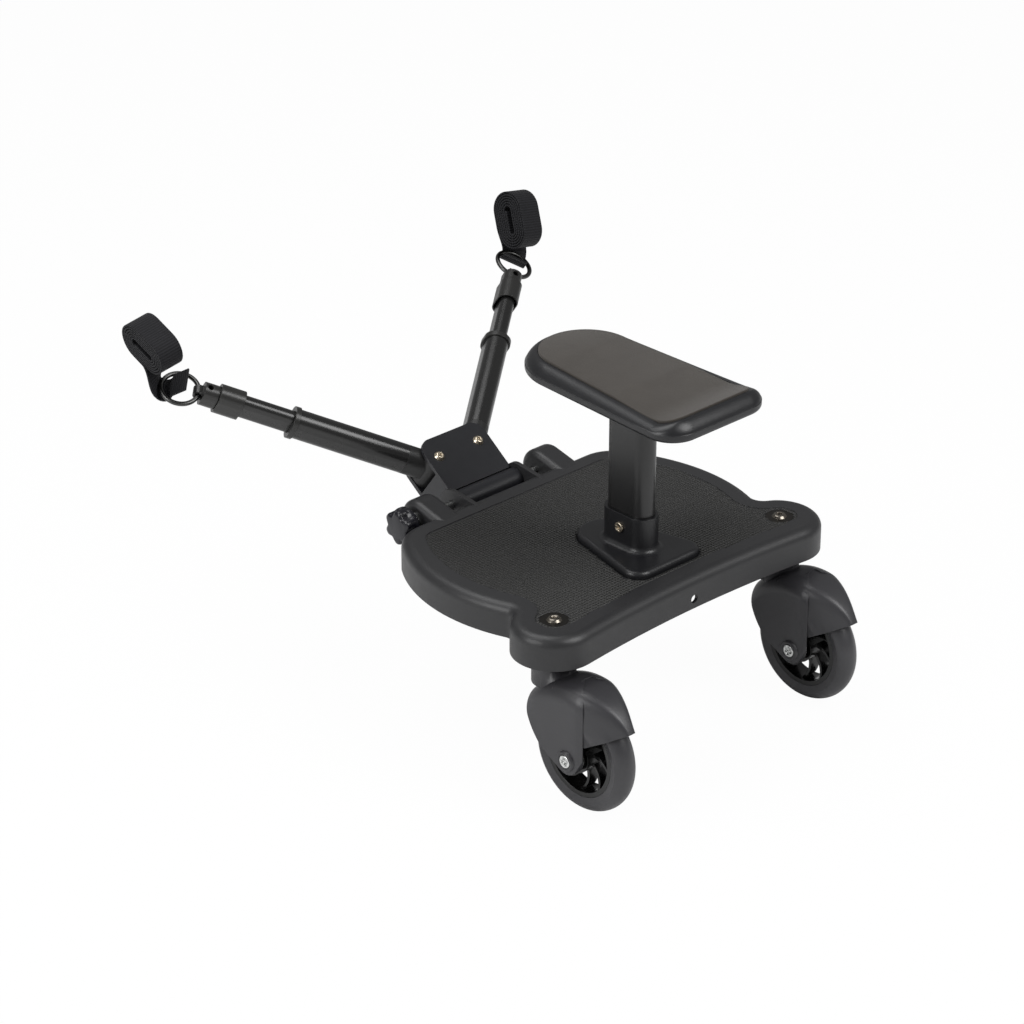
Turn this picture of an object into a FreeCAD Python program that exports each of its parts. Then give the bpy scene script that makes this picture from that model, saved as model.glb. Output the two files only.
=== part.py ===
import FreeCAD, Part
import math
import os

import Sketcher

V = FreeCAD.Vector
Rotation = FreeCAD.Rotation
Placement = FreeCAD.Placement

# Driving sizes of the buggy board: lengths in millimetres, angles in degrees, counts plain.
# Lengths "ahead" run forward, towards the pushchair, from the line between the two swivel bolts.
SIZES = {
    # Frame and general clearances
    "origin_ahead": 164,
    "running_fit": 0.05,
    "assembly_fit": 0.1,
    "side_gap": 0.3,
    "cut_overrun": 2,
    "match_tolerance": 0.01,
    # Deck
    "track": 260,
    "skirt_depth": 28,
    "deck_wall": 3,
    "deck_round": 153,
    "round_ahead": 96,
    "deck_front": 197,
    "front_corner": 35,
    "lobe_radius": 35,
    "neck_radius": 9,
    "rear_edge": 28,
    "rim_fillet": 9,
    "tread_inset": 20,
    "tread_depth": 0.6,
    "rib_wall": 2,
    "rib_pitch": 45,
    "rib_lift": 3,
    "first_rib_ahead": 18,
    "rib_columns_count": 6,
    "rib_rows_count": 4,
    "swivel_boss_radius": 21,
    "hang_hole_radius": 3.6,
    "hang_hole_drop": 19.5,
    # Ears, knuckles and the clamp axle that the bracket tilts on
    "clamp_ahead": 19,
    "ear_radius": 17.5,
    "ear_inner": 57,
    "ear_width": 25,
    "ear_fillet": 6,
    "lug_root": 13,
    "knuckle_radius": 14,
    "knuckle_wall": 4,
    "clamp_radius": 4,
    "clamp_head_radius": 7.5,
    "clamp_head_height": 5.3,
    "clamp_head_recess": 6,
    "clamp_washer_radius": 9,
    "clamp_washer_height": 1.6,
    "knob_radius": 15.5,
    "knob_lobe_radius": 4.5,
    "knob_lobes_count": 6,
    "knob_neck_radius": 8.5,
    "knob_neck_length": 4,
    "knob_grip_length": 14,
    "knob_bore_depth": 13,
    # Bracket
    "bracket_tilt_angle": 36.5,
    "bracket_width": 70,
    "bracket_corner": 12,
    "barrel_radius": 10,
    "cover_rise": 3.6,
    "cover_height": 3,
    "cavity_height": 30,
    "floor_height": 3.5,
    "web_gap": 1,
    "pivot_reach": 43.4,
    "bracket_reach": 61.4,
    "pivot_spread": 44.8,
    "pivot_radius": 3,
    "pivot_head_radius": 4.8,
    "pivot_head_height": 2.6,
    "pivot_nut_radius": 5.8,
    "pivot_nut_height": 5,
    # Arms, measured along each arm from its pivot
    "arm_spread_angle": 48.4,
    "eye_radius": 12,
    "plug_start": 25,
    "plug_depth": 15,
    "plug_pin_radius": 2,
    "tube_width": 20,
    "tube_height": 28.5,
    "tube_wall": 1.6,
    "tube_end": 124,
    "bush_width": 24,
    "bush_height": 30.5,
    "bush_flange": 4.5,
    "bush_depth": 20,
    "inner_width": 13.2,
    "inner_height": 23,
    "inner_wall": 1.4,
    "inner_start": 82,
    "slide_gap": 0.3,
    "sleeve_length": 21.5,
    "sleeve_width": 19,
    "sleeve_height": 29,
    "sleeve_mouth": 1.5,
    "sleeve_mouth_depth": 12,
    "tip_width": 16.3,
    "tip_height": 22.5,
    "tip_length": 13.3,
    "tip_hole_radius": 2.5,
    "tip_hole_depth": 8,
    "tip_hole_back": 4.3,
    "tip_spigot_length": 16,
    "lug_width": 8,
    "lug_wall": 2,
    "lug_reach": 2.6,
    "ring_reach": 226.2,
    "ring_radius": 15.8,
    "ring_wire_radius": 2,
    "ring_play": 1,
    "ring_droop_angle": 12,
    # Straps: webbing looped through the ring and rolled up flat
    "strap_width": 22.5,
    "strap_thickness": 1.6,
    "strap_gap": 0.4,
    "left_strap_tail": 18,
    "right_strap_tail": 6,
    "strap_leave_angle": 45,
    "coil_pitch": 2.3,
    "coil_turns_count": 6,
    "coil_radius": 16.2,
    "coil_straight": 19,
    "coil_turn_angle": 43.3,
    "coil_lift_angle": 10,
    "left_coil_out": 35,
    "left_coil_up": 23,
    "left_coil_in": 14,
    "left_coil_roll_angle": -10.5,
    "right_coil_out": 31,
    "right_coil_up": 19,
    "right_coil_in": 12,
    "right_coil_roll_angle": 28,
    "gap_step": 1.5,
    # Seat
    "seat_ahead": 44,
    "foot_rear_radius": 14,
    "foot_rear_spread": 50,
    "foot_rear_behind": 33,
    "foot_front_radius": 24,
    "foot_front_ahead": 28,
    "foot_height": 8,
    "foot_fillet": 4,
    "foot_recess": 2.5,
    "foot_gap": 0.8,
    "foot_floor": 4.5,
    "collar_width": 26.5,
    "collar_length": 51,
    "collar_height": 30,
    "collar_cove": 5,
    "spigot_width": 20,
    "spigot_length": 40,
    "spigot_depth": 16,
    "socket_gap": 0.4,
    "post_width": 21,
    "post_length": 45,
    "post_wall": 2,
    "post_plug_depth": 24,
    "foot_screw_radius": 2.5,
    "foot_screw_head_radius": 4.4,
    "foot_screw_head_height": 2,
    "foot_screw_drop": 12,
    "foot_nut_radius": 4.6,
    "foot_nut_height": 4,
    "pan_height": 141,
    "pan_rear_radius": 25,
    "pan_rear_spread": 66,
    "pan_rear_behind": 74,
    "pan_front_radius": 50,
    "pan_front_ahead": 53,
    "pan_rim": 7,
    "pan_bevel": 9,
    "pan_bevel_inset": 11,
    "pan_fillet": 4,
    "pan_collar_depth": 16,
    "pad_inset": 12.5,
    "pad_thickness": 3.5,
    "dish_behind": 59,
    "dish_height": 12,
    "dish_front_radius": 1640,
    "dish_rear_radius": 70,
    "seat_screw_radius": 2.5,
    "seat_screw_head_radius": 5,
    "seat_screw_head_height": 2.5,
    "seat_screw_length": 28,
    # Casters
    "wheel_radius": 50,
    "caster_trail": 37,
    "hood_gap": 8,
    "hood_wall": 6,
    "hood_clear": 12,
    "hood_fillet": 15,
    "hood_front_angle": 42,
    "hood_rear_angle": 147,
    "fork_gap": 31,
    "fork_leg": 7,
    "fork_boss_radius": 12,
    "stem_radius": 18,
    "swivel_radius": 4,
    "swivel_washer_radius": 11.75,
    "swivel_washer_height": 1.6,
    "swivel_head_radius": 6.5,
    "swivel_head_top_radius": 4.5,
    "swivel_head_height": 2.2,
    "swivel_nut_radius": 7.5,
    "swivel_nut_height": 6.5,
    "swivel_nut_clear": 2,
    "swivel_bush_radius": 8,
    "swivel_bush_depth": 12,
    "swivel_flange_radius": 15,
    "swivel_flange_height": 2,
    "axle_radius": 3,
    "axle_head_radius": 5.5,
    "axle_head_height": 2.2,
    "axle_nut_radius": 5.8,
    "axle_nut_height": 5,
    "spacer_radius": 5,
    "bearing_radius": 9.5,
    "bearing_width": 6,
    "hub_radius": 14,
    "hub_width": 24,
    "hub_bore_radius": 7,
    "rim_radius": 36,
    "rim_wall": 4,
    "rim_width": 18,
    "spoke_width": 10,
    "spoke_thickness": 3,
    "spoke_sweep_angle": 40,
    "spokes_count": 10,
    "tyre_width": 22,
    "tyre_shoulder": 6,
}

# Corners of the fork's sides, seen from the side, as shares of the wheel radius from the axle
FORK_FRONT_MID_SHARES = (0.84, 0.4)
FORK_FRONT_SHARES = (0.54, 0.01)
FORK_REAR_SHARES = (-0.5, 0.44)
# Where a curved spoke is fullest: share of its sweep, and where it starts: share of the hub radius
SPOKE_BEND_SHARE = 0.3
SPOKE_ROOT_SHARE = 0.3
# How far the webbing between ring and roll keeps its first and last heading: share of the straight way
LEAD_PULL_SHARE = 0.38

TO_X = Rotation(V(0, 1, 0), 90)
TO_Y = Rotation(V(1, 0, 0), -90)
SIDES = {"left": -1, "right": 1}

document = FreeCAD.newDocument("BuggyBoard")
sheet = document.addObject("Spreadsheet::Sheet", "Sizes")
pieces = []


class Size(float):
    """A length together with the sheet expression that gives it, kept through plain sums."""

    def __new__(cls, value, text):
        item = float.__new__(cls, value)
        item.text = text
        return item

    def __add__(self, other):
        return Size(float(self) + float(other), f"({self.text} + {text_of(other)})")

    def __radd__(self, other):
        return Size(float(other) + float(self), f"({text_of(other)} + {self.text})")

    def __sub__(self, other):
        return Size(float(self) - float(other), f"({self.text} - {text_of(other)})")

    def __rsub__(self, other):
        return Size(float(other) - float(self), f"({text_of(other)} - {self.text})")

    def __mul__(self, factor):
        return Size(float(self) * factor, f"({self.text} * {factor})")

    def __rmul__(self, factor):
        return self * factor

    def __truediv__(self, divisor):
        return Size(float(self) / divisor, f"({self.text} / {divisor})")


class Sheet:
    """Reads the sheet's cells by name."""

    def __getattr__(self, name):
        return Size(sheet.get(name), f"Sizes.{name}")


def text_of(value):
    return getattr(value, "text", repr(float(value)))


def fill_sheet():
    for row, (name, value) in enumerate(SIZES.items(), start=1):
        sheet.set(f"A{row}", name)
        sheet.set(f"B{row}", str(value))
        sheet.setAlias(f"B{row}", name)
    document.recompute()


fill_sheet()
size = Sheet()

# Heights and places that several pieces share
deck_bottom = size.wheel_radius * 2 + size.hood_gap + size.hood_wall + size.hood_clear
deck_top = deck_bottom + size.skirt_depth
bolt_side = size.track / 2
stem_top = deck_bottom - size.side_gap - size.swivel_flange_height
nut_seat = size.wheel_radius * 2 + size.swivel_nut_clear
fork_half = size.fork_gap / 2 + size.fork_leg
clamp_front = size.deck_front + size.clamp_ahead
clamp_height = deck_bottom + size.ear_radius
ear_outer = size.ear_inner + size.ear_width
head_seat = ear_outer - size.clamp_head_recess
cover_under = size.cover_rise - size.cover_height
floor_top = cover_under - size.cavity_height
floor_bottom = floor_top - size.floor_height
foot_base = deck_top - size.foot_recess
foot_top = foot_base + size.foot_height
collar_top = foot_top + size.collar_height
pan_base = deck_top + size.pan_height
pan_rim_top = pan_base + size.pan_rim
dish_low = pan_base + size.dish_height
lug_hinge = size.ring_reach - size.ring_radius
tip_end = lug_hinge - size.lug_reach
sleeve_end = tip_end - size.tip_length
sleeve_start = sleeve_end - size.sleeve_length

# Frames that the pieces are placed in
board = Placement(V(0, -size.origin_ahead, 0), Rotation())
clamp = board * Placement(V(0, clamp_front, clamp_height), Rotation())
bracket = clamp * Placement(V(), Rotation(V(1, 0, 0), size.bracket_tilt_angle))
seat = board * Placement(V(0, size.seat_ahead, 0), Rotation())


def shifted(x=0, y=0, z=0, rotation=Rotation()):
    return Placement(V(x, y, z), rotation)


def arm_frame(side):
    """Along +Y lies the arm, +Z is the bracket's upper side; the origin is mid-height on the pivot."""
    middle = (cover_under + floor_top) / 2
    turn = Rotation(V(0, 0, 1), -side * size.arm_spread_angle)
    return bracket * shifted(side * size.pivot_spread / 2, size.pivot_reach, middle, turn)


def caster_frame(side):
    return board * shifted(side * bolt_side)


def wheel_frame(side):
    """The wheel's axle lies along local Z, which points to the right."""
    return caster_frame(side) * shifted(0, -size.caster_trail, size.wheel_radius, TO_X)


# Building blocks
def bind(item, **sizes):
    for key, value in sizes.items():
        item.setExpression(key, text_of(value))
    return item


def rod(name, radius, start, length, end_radius=None):
    """A cylinder on local Z, or a cone where the far end has a radius of its own."""
    if end_radius is None:
        item = bind(document.addObject("Part::Cylinder", name), Radius=radius, Height=length)
    else:
        item = document.addObject("Part::Cone", name)
        bind(item, Radius1=radius, Radius2=end_radius, Height=length)
    if start:
        item.setExpression("Placement.Base.z", text_of(start))
    return item


def hexagon(name, radius, start, height):
    item = bind(document.addObject("Part::Prism", name), Circumradius=radius, Height=height)
    item.Polygon = 6
    if start:
        item.setExpression("Placement.Base.z", text_of(start))
    return item


def box(name, corner, length, width, height):
    item = bind(document.addObject("Part::Box", name), Length=length, Width=width, Height=height)
    item.Placement = Placement(corner, Rotation())
    return item


def fused(name, items):
    item = document.addObject("Part::MultiFuse", name)
    item.Shapes = items
    return item


def cut(name, base, tools):
    item = document.addObject("Part::Cut", name)
    item.Base = base
    item.Tool = tools[0] if len(tools) == 1 else fused(f"{name}_cuts", tools)
    return item


def common(name, base, tool):
    item = document.addObject("Part::Common", name)
    item.Base = base
    item.Tool = tool
    return item


def turned(name, steps, bores=()):
    """A turned piece on local Z: its steps joined and its bores taken out, each (radius, start, length)."""
    solids = [rod(f"{name}_step{i}", *step) for i, step in enumerate(steps)]
    base = solids[0] if len(solids) == 1 else fused(f"{name}_steps", solids)
    if not bores:
        return base
    return cut(name, base, [rod(f"{name}_bore{i}", *bore) for i, bore in enumerate(bores)])


def through(radius, start, length):
    """A bore that overruns both ends of the length that it goes through."""
    return radius, start - size.cut_overrun, length + size.cut_overrun * 2


def placed(item, placement):
    item.Placement = placement
    return item


def keep(label, item, placement):
    """Names a finished sub-part and puts it in its place."""
    item.Label = label
    item.Placement = placement
    pieces.append(item)


def keep_group(label, items):
    """Several equal small solids that share one node."""
    group = document.addObject("Part::Compound", f"{label}_group")
    group.Links = items
    keep(label, group, Placement())


def new_sketch(body, name, role, offset):
    plane = next(item for item in body.Origin.OriginFeatures if item.Role == role)
    sketch = body.newObject("Sketcher::SketchObject", name)
    sketch.AttachmentSupport = [(plane, "")]
    sketch.MapMode = "FlatFace"
    sketch.AttachmentOffset = shifted(z=offset)
    return sketch


def slab(name, role, outline, length, offset=0, symmetric=False):
    """A body made from one outline on an origin plane, padded along that plane's normal."""
    body = document.addObject("PartDesign::Body", name)
    sketch = new_sketch(body, f"{name}_outline", role, offset)
    sketch.addGeometry(outline, False)
    pad = body.newObject("PartDesign::Pad", f"{name}_pad")
    pad.Profile = sketch
    pad.SideType = "Symmetric" if symmetric else "One side"
    bind(pad, Length=length)
    document.recompute()
    return body


def rounded(body, radius, chosen):
    """Rounds those edges of a body's latest feature that the test picks."""
    base = body.Tip
    names = [f"Edge{i}" for i, edge in enumerate(base.Shape.Edges, start=1) if chosen(edge)]
    fillet = body.newObject("PartDesign::Fillet", f"{body.Name}_fillet")
    fillet.Base = (base, names)
    bind(fillet, Radius=radius)
    document.recompute()
    return body


def lies_at(axis, *values):
    """A test for edges that lie wholly at one of the given places along an axis."""
    def test(edge):
        spots = [getattr(point, axis) for point in edge.discretize(3)]
        return any(all(abs(spot - value) < size.match_tolerance for spot in spots) for value in values)
    return test


def is_arc(edge):
    return isinstance(edge.Curve, Part.Circle)


def add_oval(sketch, width, height):
    """A flat oval, straight at its sides and round at its ends, with its two sizes bound to the sheet."""
    first = sketch.GeometryCount
    half = width / 2
    reach = (height - width) / 2
    corners = [V(half, -reach, 0), V(half, reach, 0), V(-half, reach, 0), V(-half, -reach, 0)]
    ends = [V(0, reach + half, 0), V(0, -reach - half, 0)]
    sketch.addGeometry([
        Part.LineSegment(corners[0], corners[1]),
        Part.Arc(corners[1], ends[0], corners[2]),
        Part.LineSegment(corners[2], corners[3]),
        Part.Arc(corners[3], ends[1], corners[0]),
    ], False)
    for i in range(4):
        sketch.addConstraint(Sketcher.Constraint("Tangent", first + i, 2, first + (i + 1) % 4, 1))
    sketch.addConstraint(Sketcher.Constraint("Vertical", first))
    sketch.addConstraint(Sketcher.Constraint("Symmetric", first + 1, 3, first + 3, 3, -1, 1))
    radius = sketch.addConstraint(Sketcher.Constraint("Radius", first + 1, float(half)))
    spread = sketch.addConstraint(Sketcher.Constraint("DistanceY", first + 3, 3, first + 1, 3, reach * 2))
    bind(sketch, **{f"Constraints[{radius}]": half, f"Constraints[{spread}]": height - width})


def oval_rod(name, role, ovals, start, length):
    """A flat-oval bar, or a tube where a second oval is given, along +Z (XY plane) or +Y (XZ plane)."""
    along_y = role == "XZ_Plane"
    body = document.addObject("PartDesign::Body", name)
    sketch = new_sketch(body, f"{name}_section", role, -start if along_y else start)
    for width, height in ovals:
        add_oval(sketch, width, height)
    pad = body.newObject("PartDesign::Pad", f"{name}_pad")
    pad.Profile = sketch
    pad.Reversed = along_y
    bind(pad, Length=length)
    document.recompute()
    return body


def arm_oval(name, ovals, start, end):
    return oval_rod(name, "XZ_Plane", ovals, start, end - start)


def upright_oval(name, ovals, start, end):
    return oval_rod(name, "XY_Plane", ovals, start, end - start)


def grown(oval, amount):
    """An oval's width and height with the same amount added all round."""
    return oval[0] + amount * 2, oval[1] + amount * 2


def shrunk(oval, amount):
    return oval[0] - amount * 2, oval[1] - amount * 2


# Outline geometry
def polar(centre, radius, degrees):
    angle = math.radians(degrees)
    return centre + V(math.cos(angle), math.sin(angle), 0) * float(radius)


def unit(vector):
    return vector / vector.Length


def arc(centre, start, end):
    """The shorter arc about a centre from one point to another."""
    radius = (start - centre).Length
    middle = centre + unit((start - centre) + (end - centre)) * radius
    return Part.Arc(start, middle, end)


def mirrored(point):
    return V(-point.x, point.y, 0)


def closed(points):
    ends = points[1:] + points[:1]
    return [Part.LineSegment(start, end) for start, end in zip(points, ends)]


def tangent_point(centre, radius, point, turn):
    """Where a line from the point touches a circle; the turn's sign picks the side."""
    away = point - centre
    heading = math.degrees(math.atan2(away.y, away.x))
    return polar(centre, radius, heading + turn * math.degrees(math.acos(radius / away.Length)))


def meeting(centre_a, reach_a, centre_b, reach_b):
    """The point at given distances from two centres that lies left of the way from one to the other."""
    line = centre_b - centre_a
    along = (reach_a ** 2 - reach_b ** 2 + line.Length ** 2) / (2 * line.Length)
    across = math.sqrt(reach_a ** 2 - along ** 2)
    heading = unit(line)
    return centre_a + heading * along + V(-heading.y, heading.x, 0) * across


def deck_outline(inset):
    """A big round truncated at the front, with two lobes round the bolts and a hollow rear edge."""
    middle = V(0, size.round_ahead, 0)
    lobe = V(bolt_side, 0, 0)
    corner_ahead = size.deck_front - size.front_corner
    corner_reach = size.deck_round - size.front_corner
    corner_side = math.sqrt(corner_reach ** 2 - (corner_ahead - size.round_ahead) ** 2)
    corner = V(corner_side, corner_ahead, 0)
    neck = meeting(middle, size.deck_round + size.neck_radius, lobe, size.lobe_radius + size.neck_radius)
    hollow = (bolt_side ** 2 + size.rear_edge ** 2 - size.lobe_radius ** 2) / (
        2 * (size.lobe_radius - size.rear_edge))
    rear = V(0, -size.rear_edge - hollow, 0)
    front_end = V(corner_side, size.deck_front - inset, 0)
    round_front = middle + unit(corner - middle) * float(size.deck_round - inset)
    round_rear = middle + unit(neck - middle) * float(size.deck_round - inset)
    lobe_front = lobe + unit(neck - lobe) * float(size.lobe_radius - inset)
    lobe_rear = lobe + unit(rear - lobe) * float(size.lobe_radius - inset)
    outline = [
        Part.LineSegment(mirrored(front_end), front_end),
        arc(rear, lobe_rear, mirrored(lobe_rear)),
    ]
    right = [
        (corner, front_end, round_front),
        (middle, round_front, round_rear),
        (neck, round_rear, lobe_front),
        (lobe, lobe_front, lobe_rear),
    ]
    for centre, start, end in right:
        outline.append(arc(centre, start, end))
        outline.append(arc(mirrored(centre), mirrored(start), mirrored(end)))
    return outline


def shield_outline(rear_spread, rear_behind, rear_radius, front_ahead, front_radius):
    """Two round rear corners and one round front, joined by straight sides that touch all three."""
    rear = V(rear_spread / 2, -rear_behind, 0)
    front = V(0, front_ahead, 0)
    line = front - rear
    lean = (rear_radius - front_radius) / line.Length
    heading = unit(line)
    normal = heading * lean + V(heading.y, -heading.x, 0) * math.sqrt(1 - lean ** 2)
    rear_side = rear + normal * float(rear_radius)
    front_side = front + normal * float(front_radius)
    rear_end = rear - V(0, rear_radius, 0)
    nose = front + V(0, front_radius, 0)
    return [
        Part.LineSegment(mirrored(rear_end), rear_end),
        arc(rear, rear_end, rear_side),
        Part.LineSegment(rear_side, front_side),
        Part.Arc(front_side, nose, mirrored(front_side)),
        Part.LineSegment(mirrored(front_side), mirrored(rear_side)),
        arc(mirrored(rear), mirrored(rear_side), mirrored(rear_end)),
    ]


def foot_outline(growth):
    return shield_outline(size.foot_rear_spread, size.foot_rear_behind, size.foot_rear_radius + growth,
                          size.foot_front_ahead, size.foot_front_radius + growth)


def pan_outline(inset):
    return shield_outline(size.pan_rear_spread, size.pan_rear_behind, size.pan_rear_radius - inset,
                          size.pan_front_ahead, size.pan_front_radius - inset)


# Deck
def lug_outline(radius):
    """Side view of an ear or knuckle: round about the clamp axle, running back into the deck's front."""
    root = V(size.deck_front - size.lug_root, deck_top, 0)
    under = V(clamp_front, clamp_height - radius, 0)
    over = tangent_point(V(clamp_front, clamp_height, 0), radius, root, -1)
    nose = V(clamp_front + radius, clamp_height, 0)
    corners = [over, root, V(root.x, under.y, 0), under]
    sides = [Part.LineSegment(start, end) for start, end in zip(corners, corners[1:])]
    return sides + [Part.Arc(under, nose, over)]


def deck_lugs():
    knuckle_inner = size.bracket_width / 2 + size.side_gap
    lugs = []
    for name, side in SIDES.items():
        inner = size.ear_inner if side > 0 else -ear_outer
        ear = slab(f"{name}_ear", "YZ_Plane", lug_outline(size.ear_radius), size.ear_width, inner)
        lugs.append(rounded(ear, size.ear_fillet, lies_at("x", inner, inner + size.ear_width)))
        inner = knuckle_inner if side > 0 else -knuckle_inner - size.knuckle_wall
        lugs.append(slab(f"{name}_knuckle", "YZ_Plane", lug_outline(size.knuckle_radius),
                         size.knuckle_wall, inner))
    return lugs


def deck_ribs(hollow):
    """A grid of ribs under the deck's top, trimmed to the hollow that the skirt leaves."""
    height = size.skirt_depth - size.deck_wall - size.rib_lift
    low = deck_bottom + size.rib_lift
    columns = int(size.rib_columns_count)
    ribs = []
    for i in range(columns):
        x = (i - (columns - 1) / 2) * size.rib_pitch - size.rib_wall / 2
        length = size.deck_front + size.lobe_radius
        ribs.append(box(f"column_rib{i}", V(x, -size.lobe_radius, low), size.rib_wall, length, height))
    for i in range(int(size.rib_rows_count)):
        y = size.first_rib_ahead + i * size.rib_pitch
        width = size.deck_round * 2
        ribs.append(box(f"row_rib{i}", V(-size.deck_round, y, low), width, size.rib_wall, height))
    return common("deck_ribs", fused("rib_grid", ribs), hollow)


def make_deck():
    outer = slab("deck_outer", "XY_Plane", deck_outline(0), size.skirt_depth, deck_bottom)
    rounded(outer, size.rim_fillet, lies_at("z", deck_top))
    inner_height = size.skirt_depth - size.deck_wall
    hollow = slab("deck_hollow", "XY_Plane", deck_outline(size.deck_wall), inner_height, deck_bottom)
    rounded(hollow, size.rim_fillet - size.deck_wall, lies_at("z", deck_top - size.deck_wall))
    at_seat = shifted(0, size.seat_ahead, 0)
    spigot = (size.spigot_width, size.spigot_length)
    socket = grown(spigot, size.socket_gap)
    well_base = foot_base - size.deck_wall
    well = slab("foot_well", "XY_Plane", foot_outline(size.foot_gap + size.deck_wall),
                size.foot_recess + size.deck_wall / 2, well_base)
    walls = [cut("deck_shell", outer, [hollow]), deck_ribs(hollow), placed(well, at_seat)]
    walls.append(placed(upright_oval("socket_wall", [grown(socket, size.deck_wall)],
                                     foot_base - size.spigot_depth, foot_base), at_seat))
    recess = slab("foot_recess", "XY_Plane", foot_outline(size.foot_gap),
                  size.foot_recess + size.cut_overrun, foot_base)
    cuts = [placed(recess, at_seat)]
    cuts.append(placed(upright_oval("socket_hole", [socket], deck_bottom - size.cut_overrun,
                                    foot_base + size.cut_overrun), at_seat))
    cuts.append(slab("tread_recess", "XY_Plane", deck_outline(size.tread_inset),
                     size.tread_depth + size.cut_overrun, deck_top - size.tread_depth))
    washer_seat = deck_top - size.tread_depth - size.swivel_washer_height
    for name, side in SIDES.items():
        at_bolt = shifted(side * bolt_side, 0, deck_bottom)
        walls.append(placed(rod(f"{name}_boss", size.swivel_boss_radius, 0, inner_height), at_bolt))
        bolt_hole = rod(f"{name}_bolt_hole", size.swivel_radius + size.assembly_fit, 0, size.skirt_depth)
        cuts.append(placed(bolt_hole, at_bolt))
        washer_hole = rod(f"{name}_washer_recess", size.swivel_washer_radius + size.side_gap, 0,
                          size.swivel_washer_height + size.cut_overrun)
        cuts.append(placed(washer_hole, shifted(side * bolt_side, 0, washer_seat)))
    axle_hole = rod("clamp_hole", size.clamp_radius + size.assembly_fit, 0, ear_outer * 2)
    cuts.append(placed(axle_hole, shifted(-ear_outer, clamp_front, clamp_height, TO_X)))
    head_hole = rod("clamp_head_hole", size.clamp_head_radius + size.side_gap, 0,
                    size.clamp_head_recess + size.cut_overrun)
    cuts.append(placed(head_hole, shifted(head_seat, clamp_front, clamp_height, TO_X)))
    hang_hole = rod("hang_hole", size.hang_hole_radius, 0, size.deck_wall + size.cut_overrun * 2)
    hang_height = deck_top - size.hang_hole_drop
    cuts.append(placed(hang_hole, shifted(0, -size.rear_edge - size.cut_overrun, hang_height, TO_Y)))
    keep("deck", cut("deck_piece", fused("deck_walls", walls + deck_lugs()), cuts), board)


def make_swivel_fasteners():
    """The bolts that the casters turn on, with a wide washer above and a nut inside each fork."""
    seat_height = deck_top - size.tread_depth
    nut_top = nut_seat - size.side_gap
    nut_low = nut_top - size.swivel_nut_height
    bolts = []
    washers = []
    nuts = []
    for name, side in SIDES.items():
        steps = [
            (size.swivel_radius, nut_low, seat_height - nut_low),
            (size.swivel_head_radius, seat_height, size.swivel_head_height, size.swivel_head_top_radius),
        ]
        bolts.append(placed(turned(f"{name}_swivel_bolt", steps), caster_frame(side)))
        hole = size.swivel_radius + size.assembly_fit
        low = seat_height - size.swivel_washer_height
        washer = turned(f"{name}_swivel_washer",
                        [(size.swivel_washer_radius, low, size.swivel_washer_height)],
                        [through(hole, low, size.swivel_washer_height)])
        washers.append(placed(washer, caster_frame(side)))
        nut = cut(f"{name}_swivel_nut",
                  hexagon(f"{name}_nut_hexagon", size.swivel_nut_radius, nut_low, size.swivel_nut_height),
                  [rod(f"{name}_nut_hole", *through(hole, nut_low, size.swivel_nut_height))])
        nuts.append(placed(nut, caster_frame(side)))
    keep_group("swivel_bolts", bolts)
    keep_group("swivel_washers", washers)
    keep_group("swivel_nuts", nuts)


# Clamp axle and star knob
def make_clamp():
    knob_start = ear_outer + size.clamp_washer_height + size.side_gap
    left_end = knob_start + size.knob_bore_depth - size.side_gap
    shank = (size.clamp_radius, -left_end, left_end + head_seat)
    axle = fused("clamp_axle_steps", [
        rod("clamp_shank", *shank),
        hexagon("clamp_head", size.clamp_head_radius, head_seat, size.clamp_head_height),
    ])
    along = clamp * shifted(rotation=TO_X)
    keep("clamp_axle", axle, along)
    washer_low = -ear_outer - size.clamp_washer_height
    hole = size.clamp_radius + size.assembly_fit
    keep("clamp_washer", turned("clamp_washer_piece",
                                [(size.clamp_washer_radius, washer_low, size.clamp_washer_height)],
                                [through(hole, washer_low, size.clamp_washer_height)]), along)
    grip_low = -knob_start - size.knob_neck_length - size.knob_grip_length
    lobe_reach = size.knob_radius - size.knob_lobe_radius
    solids = [
        rod("knob_neck", size.knob_neck_radius, grip_low, size.knob_grip_length + size.knob_neck_length),
        rod("knob_core", lobe_reach, grip_low, size.knob_grip_length),
    ]
    lobes = int(size.knob_lobes_count)
    for i in range(lobes):
        lobe = rod(f"knob_lobe{i}", size.knob_lobe_radius, 0, size.knob_grip_length)
        spot = polar(V(0, 0, grip_low), lobe_reach, i * 360 / lobes)
        solids.append(placed(lobe, Placement(spot, Rotation())))
    bore = rod("knob_bore", size.clamp_radius + size.running_fit, -knob_start - size.knob_bore_depth,
               size.knob_bore_depth + size.cut_overrun)
    keep("clamp_knob", cut("clamp_knob_piece", fused("knob_solids", solids), [bore]), along)


# Bracket: tilts on the clamp axle and carries both arms between its floor and its cover
def pivot_places(height):
    return [shifted(side * size.pivot_spread / 2, size.pivot_reach, height) for side in SIDES.values()]


def rounded_front(body):
    """Rounds the two upright front corners of the cover or of the bracket's floor."""
    half = size.bracket_width / 2
    at_front = lies_at("y", size.bracket_reach)
    at_side = lies_at("x", -half, half)
    return rounded(body, size.bracket_corner, lambda edge: at_front(edge) and at_side(edge))


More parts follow.
